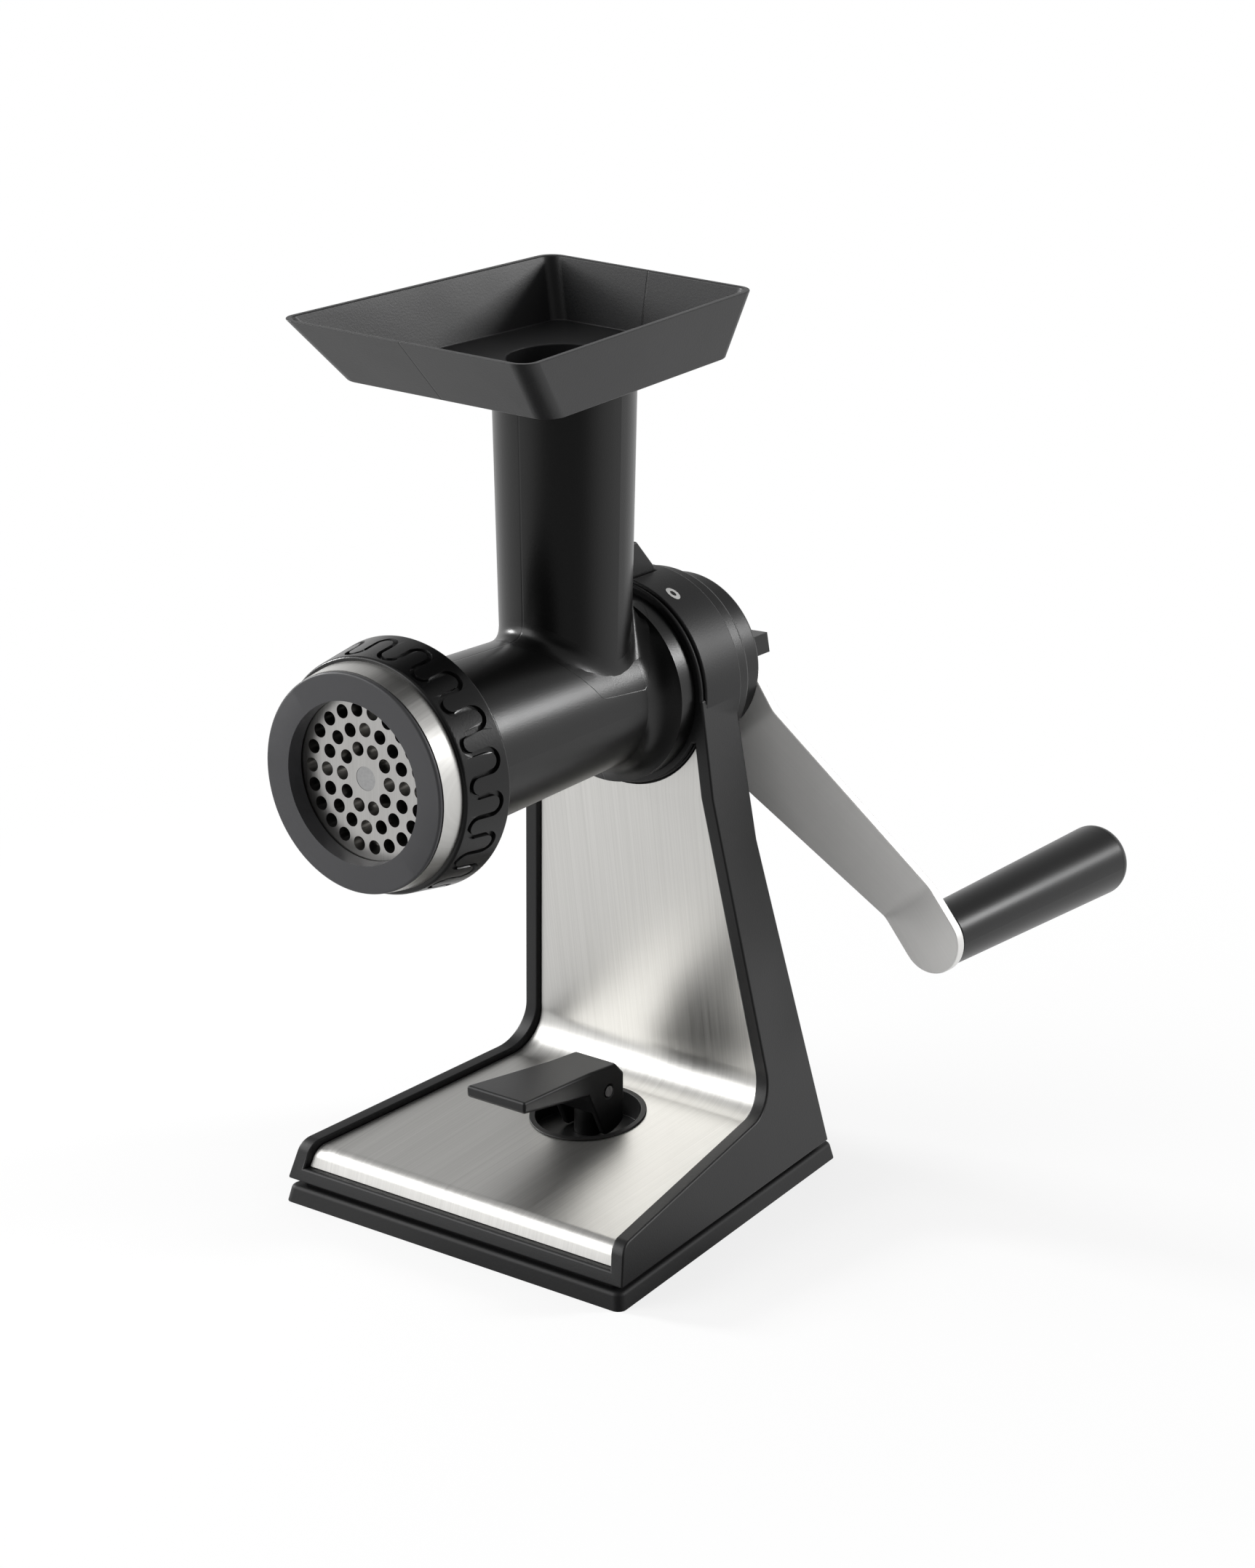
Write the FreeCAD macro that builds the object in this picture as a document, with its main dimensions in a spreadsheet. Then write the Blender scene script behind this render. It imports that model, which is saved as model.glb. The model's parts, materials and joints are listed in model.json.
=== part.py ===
"""Hand crank grinder on a suction foot, each piece a solid of its own, in millimetres.

Frame: X to the right as seen from the outlet, Y to the back, Z up. The origin is the middle of the
foot on the table plane, and the barrel axis runs along Y at axis_height.
"""
import FreeCAD, Part
import math
import os

import Sketcher

V = FreeCAD.Vector
ALONG_Y = FreeCAD.Rotation(V(1, 0, 0), -90)

SIZES = dict(
    # Foot and stand
    base_depth=150.0, base_front_width=150.0, base_back_width=109.0,
    skirt_height=6.0, skirt_flare=1.2, skirt_corner=3.0,
    plate_thickness=2.0, plate_inset=3.0,
    stand_inset=0.4, stand_taper=25.5, front_setback=1.5, back_setback=5.0,
    deck_setback=5.8, deck_front_height=21.7, upright_foot_y=35.2, deck_rear_height=32.6,
    upright_height=147.0, back_knee_y=44.2, back_knee_height=126.0,
    bend_radius=13.0, front_bend_radius=6.0, shell_wall=3.5,
    rim_width=5.5, rim_lip=2.0, sheet_thickness=1.2, sheet_gap=0.1, sheet_side_gap=0.25,
    sheet_front_height=12.6, sheet_top_drop=16.0,
    boss_radius=5.0, boss_front_inset=29.0, boss_front_setback=19.0,
    boss_back_inset=14.5, boss_back_setback=13.0,
    boss_height=14.0, screw_radius=1.6, screw_head_radius=3.0, screw_head_height=1.2,
    screw_length=9.0, screw_gap=0.08,
    # Collar and its back cover
    axis_height=181.5, collar_front=18.5, collar_back=40.5, collar_radius=36.6,
    collar_ring_radius=36.0, collar_ring_width=1.7, collar_line=0.5, collar_line_depth=0.6,
    collar_mouth_radius=28.4, lug_room_front=22.0, lug_room_back=30.2, lug_room_radius=30.5,
    cover_radius=34.5, cover_thickness=7.4, cover_gap=0.1, cover_line=0.6, cover_line_radius=33.4,
    cover_recess_radius=12.5, cover_recess_depth=3.4, cover_edge=1.5,
    cover_screw_circle=21.0, cover_screw_length=13.0,
    bush_radius=9.5, bush_flange_radius=12.0, bush_flange=1.2, seat_gap=0.05, running_gap=0.05,
    # Release button
    button_width=6.0, button_front_margin=4.0, button_back_margin=5.5, button_rise=12.0, button_top_width=3.0,
    button_heel_rise=1.4, button_sink=1.9, button_travel=2.5, button_gap=0.3,
    # Suction lever, stem and cup
    suction_y=1.5, recess_radius=18.6, recess_wall=1.0, recess_flange=1.0, recess_proud=0.7,
    recess_floor=2.0, recess_depth_below_pin=17.0, recess_gap=0.15,
    pin_height=37.6, pin_radius=2.0, lever_half_width=9.5, lever_tip_half_width=13.0,
    lever_tip_y=-49.0, lever_tip_height=50.7, lever_tip_thickness=4.3, lever_top_rear_height=46.6,
    lever_rear=8.5, lever_neck_y=-9.3, lever_neck_height=38.9, lever_slot_half=6.9,
    lever_slot_front=-5.0, lever_slot_top=5.0, cam_radius=13.0, cam_drop=3.2,
    stem_radius=4.9, stem_hole_gap=0.1, stem_head_half=6.6, stem_head_radius=4.3,
    stem_foot_radius=9.0, stem_foot_thickness=2.2, cup_seat_gap=0.3,
    cup_radius=50.0, cup_rim_clear=0.3, cup_rim_height=2.4, cup_dome_height=9.5, cup_dome_radius=14.0,
    cup_wall=2.6, cup_room=1.5, plate_hole_radius=44.0,
    # Grinder housing
    tube_y=-9.8, tube_top=298.2, tube_root_radius=21.8, tube_draft=1.25, tube_wall=3.0,
    barrel_front_radius=29.2, barrel_back_radius=26.6, barrel_bore=23.0, barrel_flare_y=1.5,
    flare_radius=10.0, flange_radius=33.6, flange_gap=0.5,
    spigot_radius=28.0, spigot_back=28.0, spigot_floor=3.0, lug_height=1.6, lug_width=12.0,
    lug_front=24.0, lug_length=4.0, lug_turn=30.0, entry_gap=1.0,
    mouth_front=-112.0, mouth_radius=33.3, stop_front=-89.5, stop_width=1.5, stop_radius=38.3,
    knife_room_radius=28.0, knife_room_length=9.0,
    # Clamp ring
    ring_front=-119.0, face_thickness=1.4, face_radius=36.5, face_edge=0.8, outlet_radius=27.5,
    ring_line=0.4, ring_sleeve_radius=35.2, ring_lip=4.8, thread_gap=0.3, ring_back=-90.0,
    band_radius=38.3, band_width=7.8, grip_ring_radius=42.5, grip_ring_edge=1.2,
    meander_count=18.0, meander_width=1.7, meander_depth=2.0, meander_front=1.6, meander_back=3.4,
    # Plate, knife and auger
    plate_radius=31.0, plate_disc=5.0, plate_gap=0.3, hole_radius=2.4, hole_circle_inner=10.0,
    hole_circle_middle=16.5, hole_circle_outer=23.0, hole_count_inner=10.0, hole_count_middle=16.0,
    hole_count_outer=22.0, plate_key=2.0,
    knife_radius=26.5, knife_thickness=5.0, knife_blade_width=8.0, knife_hub_radius=9.0, knife_gap=0.1,
    auger_radius=22.4, auger_core_front=8.0, auger_core_back=10.5, auger_pitch=27.0,
    auger_flight=4.0, auger_front=-97.0, auger_back=17.0, auger_stud_square=8.0, auger_stud_radius=4.0,
    auger_shank_radius=9.0, auger_shank_gap=0.1, washer_radius=15.0, washer_thickness=2.0,
    # Drive shaft and crank
    shaft_radius=7.0, shaft_hex=10.0, shaft_hex_front=10.0, hex_gap=0.1, shaft_end_radius=6.0,
    thread_radius=4.0, clip_radius=10.0, clip_thickness=1.0, clip_gap=0.2,
    hub_front=49.2, hub_radius=29.5, hub_edge=1.5, arm_front=60.6, arm_thickness=4.0,
    crank_angle=50.0, crank_radius=127.5, arm_bend_inner=33.6, arm_bend_outer=111.6, arm_offset=30.4,
    arm_eye_radius=20.0, arm_inner_half=17.4, arm_outer_half=12.0, arm_bend_radius=9.0,
    knob_radius=13.0, knob_length=15.0, knob_wing_radius=20.5, knob_wing_thickness=7.0, knob_edge=2.0,
    knob_gap=0.3,
    # Handle grip
    axle_radius=4.0, axle_length=96.0, axle_head_radius=6.5, axle_head=3.0, grip_gap=0.6, grip_length=106.4,
    grip_near_radius=11.2, grip_far_radius=13.1, grip_near_edge=1.0, grip_cap_seat=9.0,
    grip_cap_length=5.5, grip_cap_round=5.0,
    # Feed tray
    tray_bottom=298.6, tray_top=321.8, tray_front_y=-93.0, tray_back_y=37.3, tray_front_width=104.8,
    tray_back_width=88.4, tray_floor_front_y=-71.8, tray_floor_back_y=32.9, tray_floor_front_width=89.8,
    tray_floor_back_width=74.6, tray_corner=7.0, tray_wall=2.2,
    neck_gap=0.3, neck_wall=1.8, neck_length=22.0,
)

doc = FreeCAD.newDocument("grinder")
sheet = doc.addObject("Spreadsheet::Sheet", "dims")
for row, (alias, number) in enumerate(SIZES.items(), 1):
    sheet.set(f"A{row}", alias.replace("_", " "))
    sheet.set(f"B{row}", str(number))
    sheet.setAlias(f"B{row}", alias)
doc.recompute()


class Formula:
    """A size formula: its text drives the model, its value places the first geometry."""

    def __init__(self, text, value):
        self.text = text
        self.value = value

    def __add__(self, other):
        other = formula(other)
        return Formula(f"({self.text} + {other.text})", self.value + other.value)

    __radd__ = __add__

    def __neg__(self):
        return Formula(f"(-1 * {self.text})", -self.value)

    def __sub__(self, other):
        return self + -formula(other)

    def __rsub__(self, other):
        return formula(other) - self

    def __mul__(self, other):
        other = formula(other)
        return Formula(f"({self.text} * {other.text})", self.value * other.value)

    __rmul__ = __mul__

    def __truediv__(self, other):
        other = formula(other)
        return Formula(f"({self.text} / {other.text})", self.value / other.value)


def formula(value):
    return value if isinstance(value, Formula) else Formula(repr(float(value)), float(value))


def root(value):
    return Formula(f"sqrt({value.text})", math.sqrt(value.value))


def sine(degrees):
    return Formula(f"sin({degrees.text} * 1 deg)", math.sin(math.radians(degrees.value)))


def cosine(degrees):
    return Formula(f"cos({degrees.text} * 1 deg)", math.cos(math.radians(degrees.value)))


def tangent(degrees):
    return sine(degrees) / cosine(degrees)


class Sizes:
    """Every size of the sheet by its alias, read back as a formula."""

    def __getattr__(self, alias):
        return Formula(f"dims.{alias}", float(sheet.get(alias)))


s = Sizes()


def bind(item, prop, size):
    item.setExpression(prop, formula(size).text)


def place(item, x=0, y=0, z=0, turn=None):
    item.Placement = FreeCAD.Placement(V(0, 0, 0), turn or FreeCAD.Rotation())
    for axis, size in zip("xyz", (x, y, z)):
        bind(item, f"Placement.Base.{axis}", size)
    return item


def new_body(label):
    return doc.addObject("PartDesign::Body", label)


def new_sketch(body, role, lift=None):
    outline = body.newObject("Sketcher::SketchObject", "outline")
    plane = [item for item in body.Origin.OriginFeatures if item.Role == role][0]
    outline.AttachmentSupport = [(plane, "")]
    outline.MapMode = "FlatFace"
    if lift is not None:
        bind(outline, "AttachmentOffset.Base.z", lift)
    return outline


def pin_point(outline, curve, end, point):
    """Hold one end of a curve at a point given by two formulas."""
    for kind, size in zip(("DistanceX", "DistanceY"), point):
        size = formula(size)
        index = outline.addConstraint(Sketcher.Constraint(kind, -1, 1, curve, end, size.value))
        outline.setExpression(f"Constraints[{index}]", size.text)


def arc_between(start, finish, radius, side):
    """The arc from start to finish whose centre lies to the left (side 1) or right (side -1)."""
    chord = finish - start
    rise = math.sqrt(radius ** 2 - (chord.Length / 2) ** 2)
    centre = (start + finish) / 2 + V(-chord.y, chord.x, 0) * (side * rise / chord.Length)
    first, last = (start, finish) if side > 0 else (finish, start)
    angles = [math.atan2(p.y - centre.y, p.x - centre.x) for p in (first, last)]
    return Part.ArcOfCircle(Part.Circle(centre, V(0, 0, 1), radius), *angles)


def closed_path(body, role, path, lift=None):
    """A closed outline. A corner is (u, v), or (u, v, radius, side) where an arc leaves it."""
    outline = new_sketch(body, role, lift)
    corners = [V(formula(c[0]).value, formula(c[1]).value, 0) for c in path]
    curves = []
    for index, corner in enumerate(path):
        start, finish = corners[index], corners[(index + 1) % len(path)]
        if len(corner) == 2:
            curve = outline.addGeometry(Part.LineSegment(start, finish), False)
            curves.append((curve, 1, 2))
            continue
        radius, side = formula(corner[2]), corner[3]
        curve = outline.addGeometry(arc_between(start, finish, radius.value, side), False)
        curves.append((curve, 1, 2) if side > 0 else (curve, 2, 1))
        bound = outline.addConstraint(Sketcher.Constraint("Radius", curve, radius.value))
        outline.setExpression(f"Constraints[{bound}]", radius.text)
    for index, (curve, first, last) in enumerate(curves):
        following, entry, _ = curves[(index + 1) % len(curves)]
        outline.addConstraint(Sketcher.Constraint("Coincident", curve, last, following, entry))
        pin_point(outline, curve, first, path[index])
    return outline


def circles(body, role, rounds, lift=None):
    """One outline of full circles, each (u, v, radius)."""
    outline = new_sketch(body, role, lift)
    for u, v, radius in rounds:
        centre = V(formula(u).value, formula(v).value, 0)
        radius = formula(radius)
        curve = outline.addGeometry(Part.Circle(centre, V(0, 0, 1), radius.value), False)
        pin_point(outline, curve, 3, (u, v))
        bound = outline.addConstraint(Sketcher.Constraint("Radius", curve, radius.value))
        outline.setExpression(f"Constraints[{bound}]", radius.text)
    return outline


def box_path(low_u, low_v, high_u, high_v):
    return [(low_u, low_v), (high_u, low_v), (high_u, high_v), (low_u, high_v)]


def rounded_plan(body, front_y, back_y, front_width, back_width, corner, lift):
    """A plan drawn in evenly towards the back, its four corners rounded."""
    lean = (front_width - back_width) / 2 / (back_y - front_y)
    side = root(1 + lean * lean)
    near, far = corner * (side + lean), corner * (side - lean)
    front_side = (front_width / 2 - near * lean / side, front_y + near / side)
    back_side = (back_width / 2 + far * lean / side, back_y - far / side)
    return closed_path(body, "XY_Plane", [
        (near - front_width / 2, front_y), (front_width / 2 - near, front_y, corner, 1),
        front_side, (*back_side, corner, 1),
        (back_width / 2 - far, back_y), (far - back_width / 2, back_y, corner, 1),
        (-back_side[0], back_side[1]), (-front_side[0], front_side[1], corner, 1)], lift)


def prism(body, kind, outline, length, both=False, flip=False, draft=None):
    """A Pad or Pocket. A pocket that takes nothing away stops the build."""
    before = body.Shape.Volume if kind == "Pocket" else 0.0
    step = body.newObject(f"PartDesign::{kind}", kind.lower())
    step.Profile = outline
    bind(step, "Length", length)
    step.SideType = "Symmetric" if both else "One side"
    step.Reversed = flip
    if draft is not None:
        bind(step, "TaperAngle", draft)
    doc.recompute()
    if kind == "Pocket" and step.Shape.Volume > before - 1e-6:
        raise RuntimeError(f"{body.Label}: a pocket cuts nothing")
    return step


def turned(body, kind, path):
    """A Revolution or Groove of (radius, height) corners about the body's own Z axis."""
    before = body.Shape.Volume if kind == "Groove" else 0.0
    outline = closed_path(body, "XZ_Plane", path)
    step = body.newObject(f"PartDesign::{kind}", kind.lower())
    step.Profile = outline
    step.ReferenceAxis = (outline, ["V_Axis"])
    step.Angle = 360
    doc.recompute()
    if kind == "Groove" and step.Shape.Volume > before - 1e-6:
        raise RuntimeError(f"{body.Label}: a groove cuts nothing")
    return step


def axial(label, path):
    """A turned piece on the barrel axis: corners are (radius, place along Y)."""
    body = new_body(label)
    turned(body, "Revolution", path)
    return place(body, z=s.axis_height, turn=ALONG_Y)


def loft(body, lower, upper, kind="AdditiveLoft"):
    step = body.newObject(f"PartDesign::{kind}", "loft")
    step.Profile = lower
    step.Sections = [upper]
    step.Ruled = True
    doc.recompute()
    return step


def rounded(body, base, radius, chosen, kind="Fillet"):
    """Round or bevel the edges of a feature that the test picks."""
    names = [f"Edge{i}" for i, edge in enumerate(base.Shape.Edges, 1) if chosen(edge)]
    step = body.newObject(f"PartDesign::{kind}", kind.lower())
    step.Base = (base, names)
    bind(step, "Radius" if kind == "Fillet" else "Size", radius)
    doc.recompute()
    return step


def repeated(body, original, count):
    """Copies of a feature round the body's own Z axis."""
    step = body.newObject("PartDesign::PolarPattern", "ring")
    step.Originals = [original]
    step.Axis = ([item for item in body.Origin.OriginFeatures if item.Role == "Z_Axis"][0], [""])
    step.Angle = 360
    bind(step, "Occurrences", count)
    body.Tip = step
    doc.recompute()
    return step


def cylinder(radius, height, x=0, y=0, z=0, turn=None):
    item = doc.addObject("Part::Cylinder", "round")
    bind(item, "Radius", radius)
    bind(item, "Height", height)
    return place(item, x, y, z, turn)


def block(width, depth, height, x=0, y=0, z=0):
    item = doc.addObject("Part::Box", "block")
    for prop, size in (("Length", width), ("Width", depth), ("Height", height)):
        bind(item, prop, size)
    return place(item, x, y, z)


def combined(kind, label, base, *tools):
    """Cut, Fuse or Common of a base with each tool in turn."""
    for tool in tools:
        item = doc.addObject(f"Part::{kind}", label)
        item.Base = base
        item.Tool = tool
        base = item
    doc.recompute()
    return base


def group(label, items):
    """Equal separate solids kept in one piece."""
    item = doc.addObject("Part::Compound", label)
    item.Links = items
    doc.recompute()
    return item


parts = {}


def keep(name, item):
    item.Label = name
    parts[name] = item
    return item


def along_x_at(y, z):
    """Test for an edge that runs along X through a point of the side view."""
    def test(edge):
        return all(abs(v.Y - y.value) < 0.01 and abs(v.Z - z.value) < 0.01 for v in edge.Vertexes)
    return test


def circle_edge(radius, height):
    """Test for a full round edge of a turned piece, in the body's own frame."""
    def test(edge):
        if not isinstance(edge.Curve, Part.Circle):
            return False
        return abs(edge.Curve.Radius - radius.value) < 0.01 and abs(edge.Curve.Center.z - height.value) < 0.01
    return test


# Stand: side outline of rims, deck and upright, drawn in by a taper in plan and in height
half_depth = s.base_depth / 2
stand_bottom = s.skirt_height + s.plate_thickness
seat_depth = s.rim_lip + s.sheet_thickness
deck_front = (s.deck_setback - half_depth, s.deck_front_height)
deck_rear = (s.upright_foot_y, s.deck_rear_height)
front_foot = (s.front_setback - half_depth, stand_bottom)
upright_top = (s.collar_front, s.upright_height)
deck_slope = (deck_rear[1] - deck_front[1]) / (deck_rear[0] - deck_front[0])
sheet_top = s.axis_height - s.sheet_top_drop


def sunk(corner, depth):
    """A corner of the side outline moved into the stand, down and back alike."""
    return corner[0] + depth, corner[1] - depth


def lip_point(depth, height):
    """The point of the sunk front face at a height."""
    low, high = sunk(front_foot, depth), sunk(deck_front, depth)
    return low[0] + (high[0] - low[0]) * (height - low[1]) / (high[1] - low[1]), height


def deck_height(y):
    return deck_front[1] + deck_slope * (y - deck_front[0])


def side_slab(label, path, width, bends=()):
    """A slab across X with a side outline; bends are (corner, radius) to round."""
    body = new_body(label)
    step = prism(body, "Pad", closed_path(body, "YZ_Plane", path), width, both=True)
    for corner, radius in bends:
        step = rounded(body, step, radius, along_x_at(*map(formula, corner)))
    return body


def plan_wedge(label, inset):
    """The stand's plan, drawn in towards the back and towards the collar."""
    body = new_body(label)

    def plan(margin, lift):
        front = s.base_front_width / 2 - margin
        back = s.base_back_width / 2 - margin
        path = [(-front, -half_depth), (front, -half_depth), (back, half_depth), (-back, half_depth)]
        return closed_path(body, "XY_Plane", path, lift)

    loft(body, plan(inset, stand_bottom), plan(inset + s.stand_taper, s.axis_height))
    return body


def bends_at(depth):
    """The two rounded corners of the side outline, sunk by a depth."""
    return (sunk(deck_front, depth), s.front_bend_radius), (sunk(deck_rear, depth), s.bend_radius)


stand_block = side_slab("stand_block", [
    front_foot, deck_front, deck_rear, upright_top,
    (s.collar_front, s.axis_height), (s.collar_back, s.axis_height),
    (s.back_knee_y, s.back_knee_height), (half_depth - s.back_setback, stand_bottom),
], s.base_front_width, bends_at(0))

sheet_room = side_slab("sheet_room", [
    (-half_depth - seat_depth, s.sheet_front_height), lip_point(seat_depth, s.sheet_front_height),
    sunk(deck_front, seat_depth), sunk(deck_rear, seat_depth), sunk(upright_top, seat_depth),
    (s.collar_front + seat_depth, sheet_top), (-half_depth - seat_depth, sheet_top),
], s.base_front_width, bends_at(seat_depth))

inner_depth = seat_depth + s.shell_wall
below = stand_bottom - 1
hollow = side_slab("hollow", [
    (front_foot[0] + inner_depth, below), sunk(deck_front, inner_depth), sunk(deck_rear, inner_depth),
    sunk(upright_top, inner_depth), (s.collar_back - s.shell_wall, s.upright_height - inner_depth),
    (s.back_knee_y - s.shell_wall, s.back_knee_height),
    (half_depth - s.back_setback - s.shell_wall, below),
], s.base_front_width)

rim_plan = plan_wedge("rim_plan", s.stand_inset)
core = combined("Common", "stand_core", stand_block, rim_plan)
recess_plan = plan_wedge("recess_plan", s.stand_inset + s.rim_width)
recess = combined("Common", "sheet_recess", sheet_room, recess_plan)
core = combined("Cut", "stand_core", core, recess)

collar = axial("collar", [
    (0, s.collar_front), (s.collar_ring_radius, s.collar_front),
    (s.collar_ring_radius, s.collar_front + s.collar_ring_width),
    (s.collar_ring_radius - s.collar_line_depth, s.collar_front + s.collar_ring_width),
    (s.collar_ring_radius - s.collar_line_depth, s.collar_front + s.collar_ring_width + s.collar_line),
    (s.collar_radius, s.collar_front + s.collar_ring_width + s.collar_line),
    (s.collar_radius, s.collar_back), (0, s.collar_back),
])
collar_void = axial("collar_void", [
    (0, s.collar_front - 1), (s.collar_mouth_radius, s.collar_front - 1),
    (s.collar_mouth_radius, s.lug_room_front), (s.lug_room_radius, s.lug_room_front),
    (s.lug_room_radius, s.lug_room_back), (s.bush_radius + s.seat_gap, s.lug_room_back),
    (s.bush_radius + s.seat_gap, s.collar_back + 1), (0, s.collar_back + 1),
])


def lug_blocks(label, inner, outer, width, front, length, turn):
    """Three blocks round the barrel axis, turned from the top."""
    body = new_body(label)
    outline = closed_path(body, "XY_Plane", box_path(-width / 2, -outer, width / 2, -inner), front)
    pad = prism(body, "Pad", outline, length)
    repeated(body, pad, 3)
    place(body, z=s.axis_height, turn=FreeCAD.Rotation(V(0, 1, 0), turn.value) * ALONG_Y)
    return body


entries = lug_blocks("lug_entries", s.collar_mouth_radius - s.lug_height, s.lug_room_radius,
                     s.lug_width + s.entry_gap, s.collar_front - 1,
                     s.lug_room_front - s.collar_front + 2, s.lug_turn)
collar_top = s.axis_height + s.collar_radius
button_front = s.collar_front + s.button_front_margin
button_back = s.collar_back - s.button_back_margin
button_foot = collar_top - s.button_sink
button_well = block(
    s.button_width + 2 * s.button_gap, button_back - button_front + 2 * s.button_gap,
    s.collar_radius, -s.button_width / 2 - s.button_gap, button_front - s.button_gap,
    button_foot - s.button_travel - s.button_gap)
lever_well = cylinder(s.recess_radius + s.recess_wall + s.recess_gap, s.pin_height, 0, s.suction_y, 0)


def screw_spots():
    front = s.base_front_width / 2 - s.boss_front_inset, s.boss_front_setback - half_depth
    back = s.base_back_width / 2 - s.boss_back_inset, half_depth - s.boss_back_setback
    return [(sign * x, y) for x, y in (front, back) for sign in (-1, 1)]


def round_spots(circle, count, turn=90):
    """Places round the barrel axis, the first one turned from the X direction."""
    for index in range(count):
        angle = math.radians(turn + 360 / count * index)
        yield circle * math.cos(angle), s.axis_height + circle * math.sin(angle)


cover_front = s.collar_back + s.cover_gap
cover_spots = list(round_spots(s.cover_screw_circle, 3))
hollow_plan = plan_wedge("hollow_plan", s.stand_inset + s.shell_wall)
shell_hollow = combined("Common", "shell_hollow", hollow, hollow_plan)
shell = combined("Cut", "stand_core", core, shell_hollow)
bosses = [combined("Common", "boss", cylinder(s.boss_radius, s.boss_height, x, y, stand_bottom), core)
          for x, y in screw_spots()]
shell = combined("Fuse", "stand_core", shell, *bosses, collar)
cover_seat = cylinder(s.cover_radius + s.cover_line, s.base_depth, 0, s.collar_back, s.axis_height, ALONG_Y)
shell = combined("Cut", "stand_shell", shell, collar_void, entries, button_well, lever_well, cover_seat)
for x, y in screw_spots():
    shell = combined("Cut", "stand_shell", shell,
                     cylinder(s.screw_radius + s.screw_gap, s.boss_height, x, y, stand_bottom - 1))
for x, z in cover_spots:
    shell = combined("Cut", "stand_shell", shell, cylinder(
        s.screw_radius + s.screw_gap, s.collar_back - s.lug_room_back + 2,
        x, s.lug_room_back - 1, z, ALONG_Y))
keep("stand_shell", shell)

# Steel cover: one bent sheet between the rims, from the front lip over the deck to the collar
sheet_back = seat_depth - s.sheet_gap
sheet_low = s.sheet_front_height + s.sheet_gap
steel = side_slab("steel_slab", [
    lip_point(s.rim_lip, sheet_low), sunk(deck_front, s.rim_lip), sunk(deck_rear, s.rim_lip),
    sunk(upright_top, s.rim_lip), (s.collar_front + s.rim_lip, sheet_top - s.sheet_gap),
    (s.collar_front + sheet_back, sheet_top - s.sheet_gap), sunk(upright_top, sheet_back),
    sunk(deck_rear, sheet_back), sunk(deck_front, sheet_back), lip_point(sheet_back, sheet_low),
], s.base_front_width, bends_at(s.rim_lip) + bends_at(sheet_back))
steel = combined("Common", "steel_strip", steel,
                 plan_wedge("steel_plan", s.stand_inset + s.rim_width + s.sheet_side_gap))
keep("steel_cover", combined(
    "Cut", "steel_cover", steel,
    cylinder(s.collar_radius + s.sheet_side_gap, s.base_depth, 0, 0, s.axis_height, ALONG_Y),
    cylinder(s.recess_radius + s.recess_wall + s.recess_gap, s.pin_height, 0, s.suction_y, 0)))


# Foot: soft skirt on the table, and the plate that closes the stand from below
def foot_plan(body, inset, lift):
    return rounded_plan(body, inset - half_depth, half_depth - inset, s.base_front_width - 2 * inset,
                        s.base_back_width - 2 * inset, s.skirt_corner, lift)


skirt = new_body("skirt")
loft(skirt, foot_plan(skirt, formula(0), formula(0)), foot_plan(skirt, s.skirt_flare, s.skirt_height))
skirt_hole = circles(skirt, "XY_Plane", [(0, s.suction_y, s.cup_radius + s.cup_room)])
prism(skirt, "Pocket", skirt_hole, s.skirt_height, flip=True)
keep("foot_skirt", skirt)

bottom = new_body("bottom")
prism(bottom, "Pad", foot_plan(bottom, s.plate_inset + s.front_setback, s.skirt_height), s.plate_thickness)
plate_holes = [(0, s.suction_y, s.plate_hole_radius)]
plate_holes += [(x, y, s.screw_radius + s.screw_gap) for x, y in screw_spots()]
hole_outline = circles(bottom, "XY_Plane", plate_holes, s.skirt_height)
prism(bottom, "Pocket", hole_outline, s.plate_thickness, flip=True)
keep("bottom_plate", bottom)


def screw(label, head_down, length):
    """A pan head screw: the shank runs up from the head's seat at height zero."""
    body = new_body(label)
    turned(body, "Revolution", [
        (0, -head_down), (s.screw_head_radius, -head_down), (s.screw_head_radius, 0),
        (s.screw_radius, 0), (s.screw_radius, length), (0, length)])
    return body


bottom_screws = [place(screw("bottom_screw", s.screw_head_height, s.screw_length), x, y, s.skirt_height)
                 for x, y in screw_spots()]
for x, y in screw_spots():
    skirt_relief = cylinder(s.screw_head_radius + s.cup_seat_gap, s.skirt_height, x, y,
                            s.skirt_height - s.screw_head_height - s.cup_seat_gap)
    parts["foot_skirt"] = combined("Cut", "foot_skirt", parts["foot_skirt"], skirt_relief)
keep("foot_skirt", parts["foot_skirt"])
keep("bottom_screws", group("bottom_screws", bottom_screws))

# Suction foot: recess in the deck, stem, rubber cup and cam lever on its pin
recess_floor_top = s.pin_height - s.recess_depth_below_pin
recess_outer = s.recess_radius + s.recess_wall
cup_body = new_body("recess_cup")
turned(cup_body, "Revolution", [
    (s.stem_radius + s.stem_hole_gap, recess_floor_top - s.recess_floor),
    (recess_outer, recess_floor_top - s.recess_floor), (recess_outer, s.pin_height),
    (s.recess_radius, s.pin_height), (s.recess_radius, recess_floor_top),
    (s.stem_radius + s.stem_hole_gap, recess_floor_top)])
place(cup_body, 0, s.suction_y, 0)


def deck_slab(label, low, high):
    """A slab lying on the sloping deck, from low to high above the sheet."""
    def corner(y, rise):
        return y, deck_height(y) - s.rim_lip * (1 + deck_slope) + rise
    near, far = s.suction_y - s.cup_radius, s.suction_y + s.cup_radius
    return side_slab(label, [corner(near, low), corner(far, low), corner(far, high), corner(near, high)],
                     s.base_front_width)


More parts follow.
